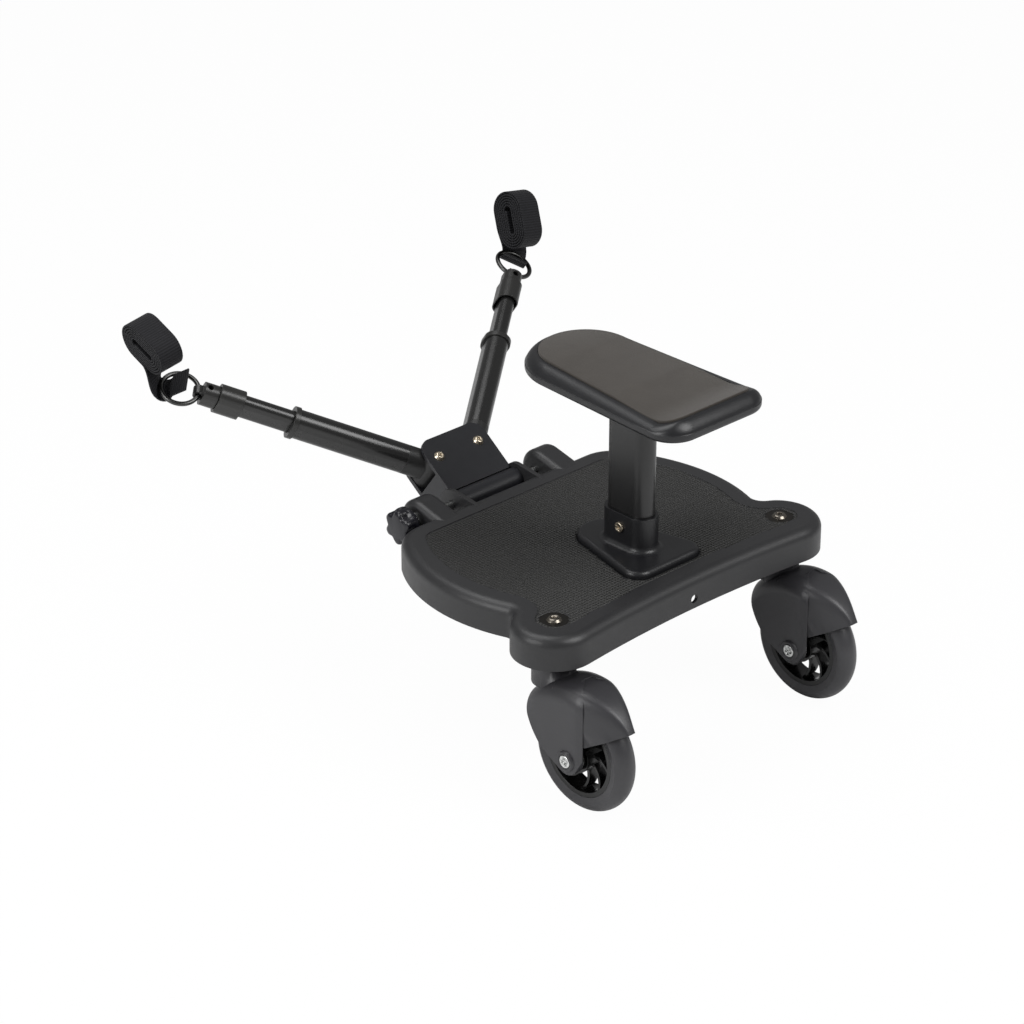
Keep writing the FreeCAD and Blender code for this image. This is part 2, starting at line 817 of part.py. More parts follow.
def make_bracket():
    web = size.pivot_reach - size.eye_radius - size.web_gap
    corners = [
        V(0, cover_under, 0),
        V(web, cover_under, 0),
        V(web, floor_top, 0),
        V(size.bracket_reach, floor_top, 0),
        V(size.bracket_reach, floor_bottom, 0),
        V(size.barrel_radius, floor_bottom, 0),
        V(0, -size.barrel_radius, 0),
    ]
    block = slab("bracket_block", "YZ_Plane", closed(corners), size.bracket_width, symmetric=True)
    rounded_front(block)
    barrel = rod("bracket_barrel", size.barrel_radius, 0, size.bracket_width)
    bore = rod("bracket_bore", size.clamp_radius + size.running_fit, 0, size.bracket_width)
    across = shifted(-size.bracket_width / 2, rotation=TO_X)
    cuts = [placed(bore, across)]
    hole = size.pivot_radius + size.assembly_fit
    for i, place in enumerate(pivot_places(floor_bottom)):
        cuts.append(placed(rod(f"floor_hole{i}", hole, 0, size.floor_height), place))
    body = fused("bracket_solid", [block, placed(barrel, across)])
    keep("bracket_body", cut("bracket_piece", body, cuts), bracket)

    rear = size.barrel_radius + size.side_gap
    half = size.bracket_width / 2
    plate = [V(-half, rear, 0), V(half, rear, 0), V(half, size.bracket_reach, 0), V(-half, size.bracket_reach, 0)]
    cover = rounded_front(slab("cover_plate", "XY_Plane", closed(plate), size.cover_height, cover_under))
    holes = [placed(rod(f"cover_hole{i}", hole, 0, size.cover_height), place)
             for i, place in enumerate(pivot_places(cover_under))]
    keep("bracket_cover", cut("cover_piece", cover, holes), bracket)

    screws = []
    nuts = []
    shank = size.cover_rise - floor_bottom + size.pivot_nut_height
    for i, place in enumerate(pivot_places(floor_bottom - size.pivot_nut_height)):
        screw = turned(f"pivot_screw{i}", [
            (size.pivot_radius, 0, shank),
            (size.pivot_head_radius, shank, size.pivot_head_height, size.pivot_radius),
        ])
        screws.append(placed(screw, bracket * place))
        nut = cut(f"pivot_nut{i}", hexagon(f"pivot_hexagon{i}", size.pivot_nut_radius, 0, size.pivot_nut_height),
                  [rod(f"pivot_nut_hole{i}", *through(hole, 0, size.pivot_nut_height))])
        nuts.append(placed(nut, bracket * place))
    keep_group("pivot_screws", screws)
    keep_group("pivot_nuts", nuts)


# Arms
def make_arm(name, side):
    frame = arm_frame(side)
    tube = (size.tube_width, size.tube_height)
    bore = shrunk(tube, size.tube_wall)
    inner = (size.inner_width, size.inner_height)
    inner_end = sleeve_end + size.side_gap

    eye_height = size.cavity_height - size.side_gap * 2
    eye = rod(f"{name}_eye", size.eye_radius, 0, eye_height)
    spigot_end = size.plug_start + size.plug_depth
    pin_place = shifted(-size.tube_width / 2, size.plug_start + size.plug_depth / 2, 0, TO_X)
    pin_hole = size.plug_pin_radius + size.assembly_fit
    plug = fused(f"{name}_plug_solid", [
        placed(eye, shifted(z=-eye_height / 2)),
        arm_oval(f"{name}_plug_neck", [tube], size.eye_radius / 2, size.plug_start),
        arm_oval(f"{name}_plug_spigot", [shrunk(bore, size.assembly_fit)], size.plug_start, spigot_end),
    ])
    plug_cuts = [
        rod(f"{name}_eye_bore", size.pivot_radius + size.running_fit, -eye_height / 2, eye_height),
        placed(rod(f"{name}_plug_hole", pin_hole, 0, size.tube_width), pin_place),
    ]
    keep(f"{name}_arm_plug", cut(f"{name}_plug_piece", plug, plug_cuts), frame)
    keep(f"{name}_plug_pin", rod(f"{name}_pin", size.plug_pin_radius, 0, size.tube_width), frame * pin_place)

    outer = cut(f"{name}_tube_piece", arm_oval(f"{name}_tube", [tube, bore], size.plug_start, size.tube_end),
                [placed(rod(f"{name}_tube_hole", pin_hole, 0, size.tube_width), pin_place)])
    keep(f"{name}_outer_tube", outer, frame)

    slide = grown(inner, size.slide_gap)
    flange_end = size.tube_end + size.bush_flange
    bush = fused(f"{name}_bush_piece", [
        arm_oval(f"{name}_bush_flange", [(size.bush_width, size.bush_height), slide],
                 size.tube_end, flange_end),
        arm_oval(f"{name}_bush_liner", [shrunk(bore, size.assembly_fit), slide],
                 size.tube_end - size.bush_depth, size.tube_end),
    ])
    keep(f"{name}_end_bush", bush, frame)

    tube_hollow = shrunk(inner, size.inner_wall)
    keep(f"{name}_inner_tube", arm_oval(f"{name}_inner", [inner, tube_hollow], size.inner_start, inner_end), frame)

    sleeve = (size.sleeve_width, size.sleeve_height)
    mouth_end = sleeve_start + size.sleeve_mouth_depth
    mouth = grown(slide, size.sleeve_mouth)
    keep(f"{name}_sleeve", fused(f"{name}_sleeve_piece", [
        arm_oval(f"{name}_sleeve_mouth", [sleeve, mouth], sleeve_start, mouth_end),
        arm_oval(f"{name}_sleeve_guide", [sleeve, slide], mouth_end, sleeve_end),
    ]), frame)
    make_tip(name, frame, tube_hollow, inner_end)
    make_ring(name, side, frame)


def make_tip(name, frame, tube_hollow, start):
    """The coupling at the arm's end: plugged into the inner tube, with a lug that holds the ring."""
    lug_hole = size.ring_wire_radius + size.ring_play
    lug_radius = lug_hole + size.lug_wall
    lug_place = shifted(-size.lug_width / 2, lug_hinge, 0, TO_X)
    half = size.lug_width / 2
    neck = box(f"{name}_lug_neck", V(-half, tip_end, -lug_radius), size.lug_width,
               size.lug_reach, lug_radius * 2)
    solids = fused(f"{name}_tip_solid", [
        arm_oval(f"{name}_tip_body", [(size.tip_width, size.tip_height)], start, tip_end),
        arm_oval(f"{name}_tip_spigot", [shrunk(tube_hollow, size.assembly_fit)],
                 start - size.tip_spigot_length, start),
        neck,
        placed(rod(f"{name}_lug", lug_radius, 0, size.lug_width), lug_place),
    ])
    hole = rod(f"{name}_tip_hole", size.tip_hole_radius, 0, size.tip_hole_depth + size.cut_overrun)
    hole_low = size.tip_height / 2 - size.tip_hole_depth
    cuts = [
        placed(hole, shifted(0, tip_end - size.tip_hole_back, hole_low)),
        placed(rod(f"{name}_lug_hole", lug_hole, 0, size.lug_width), lug_place),
    ]
    keep(f"{name}_tip_coupling", cut(f"{name}_tip_piece", solids, cuts), frame)


def make_ring(name, side, frame):
    """The ring hangs a little below the arm's line, turned about the lug's hole."""
    to_lug = shifted(0, -size.ring_radius, 0)
    droop = to_lug * shifted(rotation=Rotation(V(1, 0, 0), -size.ring_droop_angle)) * to_lug.inverse()
    level = frame * shifted(0, size.ring_reach, 0)
    ring = bind(document.addObject("Part::Torus", f"{name}_torus"),
                Radius1=size.ring_radius, Radius2=size.ring_wire_radius)
    keep(f"{name}_ring", ring, level * droop)
    make_strap(name, side, level, droop)


# Straps: a flat path, given as straight runs and arcs, is thickened and spread to the webbing's width
class Path:
    """A path in a plane, built from tangent straight runs and arcs."""

    def __init__(self, start, heading):
        self.point = start
        self.heading = heading
        self.runs = []

    def forward(self, length):
        end = self.point + self.heading * float(length)
        self.runs.append(("line", self.point, end, self.left()))
        self.point = end

    def turn(self, radius, degrees):
        """An arc to the left for a positive angle, to the right for a negative one."""
        side = 1 if degrees > 0 else -1
        centre = self.point + self.left() * float(side * radius)
        spin = Rotation(V(0, 0, 1), degrees)
        end = centre + spin.multVec(self.point - centre)
        middle = centre + Rotation(V(0, 0, 1), degrees / 2).multVec(self.point - centre)
        self.runs.append(("arc", self.point, middle, end, centre, side))
        self.point = end
        self.heading = spin.multVec(self.heading)

    def left(self):
        return V(-self.heading.y, self.heading.x, 0)

    def edge(self, run, offset):
        """One run, moved to the left by an offset, as a start, an end and a curve."""
        if run[0] == "line":
            shift = run[3] * offset
            return run[1] + shift, run[2] + shift, Part.LineSegment(run[1] + shift, run[2] + shift)
        start, middle, end = (p + unit(run[4] - p) * (run[5] * offset) for p in run[1:4])
        return start, end, Part.Arc(start, middle, end)

    def face(self, thickness):
        half = thickness / 2
        left = [self.edge(run, half) for run in self.runs]
        right = [self.edge(run, -half) for run in self.runs]
        caps = [Part.LineSegment(right[0][0], left[0][0]), Part.LineSegment(left[-1][1], right[-1][1])]
        curves = [item[2] for item in left + right] + caps
        edges = Part.sortEdges([curve.toShape() for curve in curves])[0]
        return Part.Face(Part.Wire(edges))

    def points(self, step):
        """Points along the middle of the path, about a step apart."""
        found = []
        for run in self.runs:
            curve = self.edge(run, 0)[2].toShape()
            count = max(2, round(curve.Length / step) + 1)
            spots = curve.discretize(count)
            if (spots[0] - run[1]).Length > (spots[-1] - run[1]).Length:
                spots.reverse()
            found.extend(spots[:-1])
        return found + [self.point]


def strap_loop(tail):
    """Side view of the webbing round the ring's far bar: a tail inside the ring, then out under the bar."""
    half = size.strap_thickness / 2
    outside = size.ring_radius + size.ring_wire_radius + size.strap_gap + half
    clear = size.ring_radius - size.ring_wire_radius - size.strap_gap
    inside = math.sqrt(clear ** 2 - (size.strap_width / 2) ** 2) - half
    radius = (outside - inside) / 2
    path = Path(V(inside, tail, 0), V(0, -1, 0))
    path.forward(tail)
    path.turn(radius, 90)
    path.turn(radius, size.strap_leave_angle)
    return path


def strap_coil():
    """End view of the roll: half turns that shrink by half a pitch, joined by straight runs."""
    path = Path(V(0, -size.coil_radius, 0), V(1, 0, 0))
    path.forward(size.coil_straight / 2)
    for i in range(int(size.coil_turns_count)):
        radius = size.coil_radius - i * size.coil_pitch
        for reach in (radius, radius - size.coil_pitch / 2):
            path.turn(reach, 90)
            path.turn(reach, 90)
            path.forward(size.coil_straight)
    return path


def section(point, across, normal):
    """The webbing's cross-section at a point, as a closed wire."""
    wide = across * float(size.strap_width / 2)
    thick = normal * float(size.strap_thickness / 2)
    corners = [point - wide - thick, point + wide - thick, point + wide + thick, point - wide + thick]
    return Part.makePolygon(corners + corners[:1])


def without_ends(shape, *ends):
    """A shape's faces, less the end faces that are centred on the given points."""
    return [face for face in shape.Faces
            if all((face.CenterOfMass - end).Length > size.match_tolerance for end in ends)]


def least_gap(points):
    """Least distance between stretches of webbing that are not neighbours, less its thickness."""
    step = size.gap_step
    apart = math.ceil(size.coil_pitch * 4 / step)
    least = min((far - near).Length for i, near in enumerate(points) for far in points[i + apart:])
    return least - size.strap_thickness


def make_strap(name, side, level, droop):
    """Loop, twisted lead and roll about the ring's middle, built for the right arm and mirrored for the left."""
    def own(what):
        return getattr(size, f"{name}_{what}")
    turn = Rotation(V(0, 0, 1), size.coil_turn_angle)
    lift = Rotation(V(0, 1, 0), size.coil_lift_angle)
    roll = Rotation(V(1, 0, 0), own("coil_roll_angle"))
    spin = turn * lift * roll
    across = spin.multVec(V(1, 0, 0))
    along = spin.multVec(V(0, 1, 0))
    upward = spin.multVec(V(0, 0, 1))
    centre = V(-own("coil_in"), own("coil_out"), own("coil_up"))
    half_width = size.strap_width / 2

    loop = strap_loop(own("strap_tail"))
    upright = Rotation(V(0, 1, 0), V(0, 0, 1), V(1, 0, 0), "ZXY")
    loop_frame = droop * Placement(V(-half_width, 0, 0), upright)
    coil = strap_coil()
    coil_frame = Placement(centre - across * float(half_width), Rotation(along, upward, across, "ZXY"))

    def spread(path, frame):
        solid = path.face(size.strap_thickness).extrude(V(0, 0, size.strap_width))
        solid.Placement = frame
        return solid

    begin = loop_frame.multVec(loop.point) + V(half_width, 0, 0)
    leave = loop_frame.Rotation.multVec(loop.heading)
    arrive = centre - upward * float(size.coil_radius)
    pull = (arrive - begin).Length * LEAD_PULL_SHARE
    lead = Part.BezierCurve()
    lead.setPoles([begin, begin + leave * pull, arrive - along * pull, arrive])
    wires = []
    for share in (i / 4 for i in range(5)):
        point = lead.value(share)
        heading = unit(lead.tangent(share)[0])
        width = unit(V(1, 0, 0) * (1 - share) + across * share)
        normal = unit(heading.cross(width))
        wires.append(section(point, unit(normal.cross(heading)), normal))
    faces = without_ends(spread(loop, loop_frame), begin)
    faces += without_ends(Part.makeLoft(wires, True), begin, arrive)
    faces += without_ends(spread(coil, coil_frame), arrive)
    skin = Part.makeShell(faces)
    skin.sewShape()
    strap = Part.makeSolid(skin)
    points = [loop_frame.multVec(p) + V(half_width, 0, 0) for p in loop.points(size.gap_step)]
    points += lead.toShape().discretize(Distance=float(size.gap_step))[1:-1]
    points += [coil_frame.multVec(p) + across * float(half_width) for p in coil.points(size.gap_step)]
    print(f"{name} strap: least gap to itself {least_gap(points):.2f} mm")
    if side < 0:
        strap = strap.mirror(V(), V(1, 0, 0))
    item = document.addObject("Part::Feature", f"{name}_webbing")
    item.Shape = strap
    keep(f"{name}_strap", item, level)


# Seat
def make_foot():
    collar = (size.collar_width, size.collar_length)
    hole = grown((size.post_width, size.post_length), size.assembly_fit)
    plate = slab("foot_plate", "XY_Plane", foot_outline(0), size.foot_height, foot_base)
    rounded(plate, size.foot_fillet, lies_at("z", foot_top))
    sketch = new_sketch(plate, "foot_collar_section", "XY_Plane", foot_top)
    add_oval(sketch, *collar)
    pad = plate.newObject("PartDesign::Pad", "foot_collar")
    pad.Profile = sketch
    bind(pad, Length=size.collar_height)
    document.recompute()
    reach = size.collar_length / 2 + size.match_tolerance

    def at_cove(edge):
        return lies_at("z", foot_top)(edge) and all(point.Length < V(reach, 0, foot_top).Length
                                                    for point in edge.discretize(3))
    rounded(plate, size.collar_cove, at_cove)
    spigot = upright_oval("foot_spigot", [(size.spigot_width, size.spigot_length)],
                          foot_base - size.spigot_depth, foot_base)
    bore = upright_oval("foot_bore", [hole], foot_base + size.foot_floor, collar_top + size.cut_overrun)
    screw_hole = rod("foot_screw_hole", size.foot_screw_radius + size.assembly_fit, 0, size.collar_width)
    screw_place = shifted(-size.collar_width / 2, 0, collar_top - size.foot_screw_drop, TO_X)
    foot = cut("foot_piece", fused("foot_solid", [plate, spigot]), [bore, placed(screw_hole, screw_place)])
    keep("seat_foot", foot, seat)

    head = (size.foot_screw_head_radius, -size.foot_screw_head_height, size.foot_screw_head_height)
    length = size.collar_width + size.foot_nut_height
    keep("foot_screw", turned("foot_screw_piece", [(size.foot_screw_radius, 0, length), head]),
         seat * screw_place)
    nut_hole = through(size.foot_screw_radius + size.assembly_fit, size.collar_width, size.foot_nut_height)
    nut = cut("foot_nut_piece",
              hexagon("foot_hexagon", size.foot_nut_radius, size.collar_width, size.foot_nut_height),
              [rod("foot_nut_hole", *nut_hole)])
    keep("foot_nut", nut, seat * screw_place)

    post = (size.post_width, size.post_length)
    hollow = shrunk(post, size.post_wall)
    post_hole = rod("post_screw_hole", size.foot_screw_radius + size.assembly_fit, 0, size.collar_width)
    tube = upright_oval("post_tube", [post, hollow], foot_base + size.foot_floor, pan_base)
    keep("seat_post", cut("post_piece", tube, [placed(post_hole, screw_place)]), seat)
    plug = upright_oval("plug_block", [shrunk(hollow, size.assembly_fit)],
                        pan_base - size.post_plug_depth, pan_base)
    pilot = rod("plug_pilot", size.seat_screw_radius + size.assembly_fit,
                pan_base - size.post_plug_depth, size.post_plug_depth)
    keep("post_plug", cut("plug_piece", plug, [pilot]), seat)


def dish_curve(depth, front_end, rear_end):
    """Side view of the seat's hollow, at a depth below the pad's top: a tight rear arc and a long front one."""
    low = V(-size.dish_behind, dish_low - depth, 0)
    curves = []
    for radius, end in ((size.dish_rear_radius, rear_end), (size.dish_front_radius, front_end)):
        centre = V(low.x, dish_low + radius, 0)
        reach = radius + depth
        height = centre.y - math.sqrt(reach ** 2 - (end - low.x) ** 2)
        curves.append(arc(centre, low, V(end, height, 0)))
    return curves


def dish_ends():
    rear = -size.pan_rear_behind - size.pan_rear_radius - size.cut_overrun
    front = size.pan_front_ahead + size.pan_front_radius + size.cut_overrun
    return front, rear


def band(name, low_depth, high_depth):
    """The layer between two depths below the pad's top, wider than the pan; no high depth leaves it open up."""
    front, rear = dish_ends()
    under = dish_curve(low_depth, front, rear)
    width = (size.pan_rear_spread + size.pan_rear_radius * 2) + size.cut_overrun * 2
    rear_low, front_low = under[0].EndPoint, under[1].EndPoint
    rear_low = rear_low if abs(rear_low.x - rear) < size.match_tolerance else under[0].StartPoint
    front_low = front_low if abs(front_low.x - front) < size.match_tolerance else under[1].StartPoint
    if high_depth is None:
        ceiling = dish_low + size.dish_rear_radius
        top = [Part.LineSegment(V(rear, ceiling, 0), V(front, ceiling, 0))]
        rear_high, front_high = V(rear, ceiling, 0), V(front, ceiling, 0)
    else:
        top = dish_curve(high_depth, front, rear)
        rear_high = next(p for p in (top[0].StartPoint, top[0].EndPoint) if abs(p.x - rear) < size.match_tolerance)
        front_high = next(p for p in (top[1].StartPoint, top[1].EndPoint)
                          if abs(p.x - front) < size.match_tolerance)
    sides = [Part.LineSegment(rear_low, rear_high), Part.LineSegment(front_low, front_high)]
    return slab(name, "YZ_Plane", under + top + sides, width, symmetric=True)


def free_sketch(name, outline, height):
    sketch = document.addObject("Sketcher::SketchObject", name)
    sketch.addGeometry(outline, False)
    sketch.Placement = shifted(z=height)
    return sketch


def make_pan():
    rim = slab("pan_rim", "XY_Plane", pan_outline(0), size.pan_rim, pan_base)
    rounded(rim, size.pan_fillet, lies_at("z", pan_base))
    bevel = document.addObject("Part::Loft", "pan_bevel")
    bevel.Sections = [
        free_sketch("bevel_foot", pan_outline(0), pan_rim_top),
        free_sketch("bevel_head", pan_outline(size.pan_bevel_inset), pan_rim_top + size.pan_bevel),
    ]
    bevel.Solid = True
    bevel.Ruled = True
    post = (size.post_width, size.post_length)
    hole = grown(post, size.assembly_fit)
    collar = upright_oval("pan_collar", [(size.collar_width, size.collar_length), hole],
                          pan_base - size.pan_collar_depth, pan_base)
    dish_depth = size.pad_thickness + size.assembly_fit
    screw_top = dish_low - dish_depth
    pilot = rod("pan_screw_hole", size.seat_screw_radius + size.assembly_fit, pan_base, size.pan_rim)
    sink = rod("pan_screw_sink", size.seat_screw_head_radius + size.assembly_fit,
               screw_top - size.seat_screw_head_height, size.pan_rim + size.pan_bevel)
    pan = cut("pan_piece", fused("pan_solid", [rim, bevel, collar]), [band("pan_dish", dish_depth, None), pilot, sink])
    keep("seat_pan", pan, seat)

    screw = turned("seat_screw_piece", [
        (size.seat_screw_radius, screw_top - size.seat_screw_length, size.seat_screw_length),
        (size.seat_screw_head_radius, screw_top - size.seat_screw_head_height, size.seat_screw_head_height),
    ])
    keep("seat_screw", screw, seat)

    block = slab("pad_block", "XY_Plane", pan_outline(size.pad_inset), size.dish_rear_radius, pan_base)
    keep("seat_pad", common("pad_piece", block, band("pad_layer", size.pad_thickness, 0)), seat)


# Casters
def fork_outline():
    """Side view of a fork: the hood's arc over the wheel, and a leg that narrows to the axle's boss."""
    axle = V(-size.caster_trail, size.wheel_radius, 0)
    hood = size.wheel_radius + size.hood_gap + size.hood_wall

    def at(shares):
        return axle + V(shares[0], shares[1], 0) * float(size.wheel_radius)
    hood_front = polar(axle, hood, size.hood_front_angle)
    hood_rear = polar(axle, hood, size.hood_rear_angle)
    front = at(FORK_FRONT_SHARES)
    rear = at(FORK_REAR_SHARES)
    boss_front = tangent_point(axle, size.fork_boss_radius, front, -1)
    boss_rear = tangent_point(axle, size.fork_boss_radius, rear, 1)
    return [
        arc(axle, hood_rear, hood_front),
        Part.Arc(hood_front, at(FORK_FRONT_MID_SHARES), front),
        Part.LineSegment(front, boss_front),
        arc(axle, boss_front, boss_rear),
        Part.LineSegment(boss_rear, rear),
        Part.LineSegment(rear, hood_rear),
    ]


def make_fork(name, side):
    frame = caster_frame(side)
    hood = size.wheel_radius + size.hood_gap + size.hood_wall
    sides = slab(f"{name}_fork_sides", "YZ_Plane", fork_outline(), fork_half * 2, symmetric=True)

    def on_hood(edge):
        return is_arc(edge) and abs(edge.Curve.Radius - hood) < size.match_tolerance
    rounded(sides, size.hood_fillet, on_hood)
    slot_radius = size.wheel_radius + size.hood_gap
    stem = rod(f"{name}_stem", size.stem_radius, size.wheel_radius * 2, stem_top - size.wheel_radius * 2)
    across = shifted(-size.fork_gap / 2, -size.caster_trail, size.wheel_radius, TO_X)
    slot = placed(rod(f"{name}_wheel_slot", slot_radius, 0, size.fork_gap), across)
    through_legs = shifted(-fork_half, -size.caster_trail, size.wheel_radius, TO_X)
    axle_hole = rod(f"{name}_axle_hole", size.axle_radius + size.assembly_fit, 0, fork_half * 2)
    pocket = rod(f"{name}_nut_pocket", size.swivel_nut_radius + size.cut_overrun, size.wheel_radius,
                 nut_seat - size.wheel_radius)
    bush_hole = size.swivel_bush_radius + size.assembly_fit
    cuts = [
        slot,
        placed(axle_hole, through_legs),
        pocket,
        rod(f"{name}_bolt_way", size.swivel_radius + size.side_gap, nut_seat, stem_top - nut_seat),
        rod(f"{name}_bush_seat", bush_hole, stem_top - size.swivel_bush_depth, size.swivel_bush_depth),
    ]
    keep(f"{name}_fork", cut(f"{name}_fork_piece", fused(f"{name}_fork_solid", [sides, stem]), cuts), frame)

    bore = size.swivel_radius + size.running_fit
    bush_low = stem_top - size.swivel_bush_depth
    bush_length = size.swivel_bush_depth + size.swivel_flange_height
    bush = turned(f"{name}_bush_turned", [
        (size.swivel_bush_radius, bush_low, bush_length),
        (size.swivel_flange_radius, stem_top, size.swivel_flange_height),
    ], [through(bore, bush_low, bush_length)])
    keep(f"{name}_swivel_bush", bush, frame)


def make_axle(name, side):
    frame = wheel_frame(side)
    hole = size.axle_radius + size.running_fit
    screw = turned(f"{name}_axle_turned", [
        (size.axle_radius, -fork_half, fork_half * 2 + size.axle_nut_height),
        (size.axle_head_radius, -fork_half - size.axle_head_height, size.axle_head_height),
    ])
    keep(f"{name}_axle_screw", screw, frame)
    nut = cut(f"{name}_axle_nut_piece",
              hexagon(f"{name}_axle_hexagon", size.axle_nut_radius, fork_half, size.axle_nut_height),
              [rod(f"{name}_axle_nut_hole", *through(hole, fork_half, size.axle_nut_height))])
    keep(f"{name}_axle_nut", nut, frame)
    gap = size.side_gap
    outer_length = (size.fork_gap - size.hub_width) / 2 - gap
    inner_length = size.hub_width - size.bearing_width * 2 - gap * 2
    spans = [
        (-size.fork_gap / 2, outer_length),
        (-inner_length / 2, inner_length),
        (size.fork_gap / 2 - outer_length, outer_length),
    ]
    spacers = []
    for i, (start, length) in enumerate(spans):
        spacer = turned(f"{name}_spacer{i}", [(size.spacer_radius, start, length)],
                        [through(hole, start, length)])
        spacers.append(placed(spacer, frame))
    keep_group(f"{name}_axle_spacers", spacers)


def spoke_outline():
    """One curved spoke, from inside the hub to inside the rim's wall."""
    inner = size.hub_radius * SPOKE_ROOT_SHARE
    outer = size.rim_radius - size.rim_wall / 2
    middle = (inner + outer) / 2
    half = size.spoke_thickness / 2
    corners = []
    for turn in (-1, 1):
        stations = ((inner, 0), (middle, SPOKE_BEND_SHARE), (outer, 1))
        corners.append([polar(V(), radius, share * size.spoke_sweep_angle
                              + turn * math.degrees(math.asin(half / radius)))
                        for radius, share in stations])
    low, high = corners
    return [Part.Arc(*low), Part.LineSegment(low[2], high[2]), Part.Arc(*high), Part.LineSegment(high[0], low[0])]


def make_wheel(name, side):
    frame = wheel_frame(side)
    spokes = slab(f"{name}_spokes", "XY_Plane", spoke_outline(), size.spoke_width, symmetric=True)
    pattern = spokes.newObject("PartDesign::PolarPattern", f"{name}_spoke_ring")
    pattern.Originals = [spokes.Tip]
    pattern.Axis = (document.getObject(f"{name}_spokes_outline"), ["N_Axis"])
    pattern.Angle = 360
    pattern.setExpression("Occurrences", size.spokes_count.text)
    spokes.Tip = pattern
    rim_bore = size.rim_radius - size.rim_wall
    rim = turned(f"{name}_rim", [(size.rim_radius, -size.rim_width / 2, size.rim_width)],
                 [through(rim_bore, -size.rim_width / 2, size.rim_width)])
    hub = rod(f"{name}_hub_boss", size.hub_radius, -size.hub_width / 2, size.hub_width)
    seat_radius = size.bearing_radius + size.assembly_fit
    seat_depth = size.bearing_width + size.cut_overrun
    bores = [
        rod(f"{name}_hub_bore", *through(size.hub_bore_radius, -size.hub_width / 2, size.hub_width)),
        rod(f"{name}_left_seat", seat_radius, -size.hub_width / 2 - size.cut_overrun, seat_depth),
        rod(f"{name}_right_seat", seat_radius, size.hub_width / 2 - size.bearing_width, seat_depth),
    ]
    wheel = cut(f"{name}_hub_piece", fused(f"{name}_hub_solid", [hub, rim, spokes]), bores)
    keep(f"{name}_wheel_hub", wheel, frame)

    bearings = []
    hole = size.axle_radius + size.running_fit
    for i, start in enumerate((-size.hub_width / 2, size.hub_width / 2 - size.bearing_width)):
        bearing = turned(f"{name}_bearing{i}", [(size.bearing_radius, start, size.bearing_width)],
                         [through(hole, start, size.bearing_width)])
        bearings.append(placed(bearing, frame))
    keep_group(f"{name}_bearings", bearings)

    seat_line = size.rim_radius + size.assembly_fit
    shoulder = size.rim_radius + size.tyre_shoulder
    half = size.tyre_width / 2
    rim_half = size.rim_width / 2
    tread = Part.Arc(V(shoulder, half, 0), V(size.wheel_radius, 0, 0), V(shoulder, -half, 0))
    corners = [V(shoulder, -half, 0), V(seat_line, -rim_half, 0), V(seat_line, rim_half, 0), V(shoulder, half, 0)]
    sides = [Part.LineSegment(start, end) for start, end in zip(corners, corners[1:])]
    body = document.addObject("PartDesign::Body", f"{name}_tyre_body")
    sketch = new_sketch(body, f"{name}_tyre_section", "XZ_Plane", 0)
    sketch.addGeometry(sides + [tread], False)
    revolved = body.newObject("PartDesign::Revolution", f"{name}_tyre_round")
    revolved.Profile = sketch
    revolved.ReferenceAxis = (sketch, ["V_Axis"])
    revolved.Angle = 360
    document.recompute()
    keep(f"{name}_tyre", body, frame)


def check_and_write():
    document.recompute()
    failed = [item.Label for item in document.Objects if {"Invalid", "Error"} & set(item.State)]
    failed += [item.Label for item in pieces if item.Shape.isNull() or not item.Shape.isValid()]
    if failed:
        raise RuntimeError(f"not built: {failed}")
    os.makedirs("parts", exist_ok=True)
    for item in pieces:
        item.Shape.exportStep(f"parts/{item.Label}.step")


make_deck()
make_swivel_fasteners()
make_clamp()
make_bracket()
for side_name, side_sign in SIDES.items():
    make_arm(side_name, side_sign)
make_foot()
make_pan()
for side_name, side_sign in SIDES.items():
    make_fork(side_name, side_sign)
    make_axle(side_name, side_sign)
    make_wheel(side_name, side_sign)
check_and_write()
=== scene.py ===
import math

import bmesh
import bpy
from mathutils import Matrix, Vector


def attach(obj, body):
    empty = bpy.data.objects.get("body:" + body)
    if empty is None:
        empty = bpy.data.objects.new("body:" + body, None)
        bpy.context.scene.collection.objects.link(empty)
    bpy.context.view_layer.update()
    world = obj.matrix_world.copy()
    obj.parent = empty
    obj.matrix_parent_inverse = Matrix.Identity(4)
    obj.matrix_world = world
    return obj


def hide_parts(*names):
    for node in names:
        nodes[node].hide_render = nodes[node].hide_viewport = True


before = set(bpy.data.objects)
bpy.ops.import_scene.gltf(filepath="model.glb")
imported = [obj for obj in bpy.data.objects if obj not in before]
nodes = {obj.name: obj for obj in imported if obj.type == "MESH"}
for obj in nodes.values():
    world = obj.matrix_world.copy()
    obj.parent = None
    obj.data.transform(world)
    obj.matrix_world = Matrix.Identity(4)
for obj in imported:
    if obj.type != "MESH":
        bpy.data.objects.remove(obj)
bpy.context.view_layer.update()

# Sizes of the solids that the dressed pieces follow; lengths are in metres and angles in degrees
BEHIND = 0.164                    # from the swivel bolts forward to the part's origin
DECK_TOP, TREAD_DEPTH = 0.154, 0.0006
ROUND_AHEAD, ROUND_RADIUS = 0.096, 0.153
FRONT_EDGE, FRONT_CORNER = 0.197, 0.035
BOLT_SIDE, LOBE_RADIUS, NECK_RADIUS, REAR_EDGE = 0.13, 0.035, 0.009, 0.028
TREAD_INSET, LINE_STEPS = 0.0204, 12
STUD_PITCH, STUD_MARGIN, STUD_RISE, MAT_THICK = 0.0031, 0.0008, 0.0005, 0.0001
STUD_FACING = 0.9                 # least upward part of the normal of a face that gets a stud
SEAT_AHEAD = 0.044
FOOT_REAR, FOOT_REAR_RADIUS = Vector((0.025, -0.033)), 0.014
FOOT_FRONT, FOOT_FRONT_RADIUS = Vector((0, 0.028)), 0.024
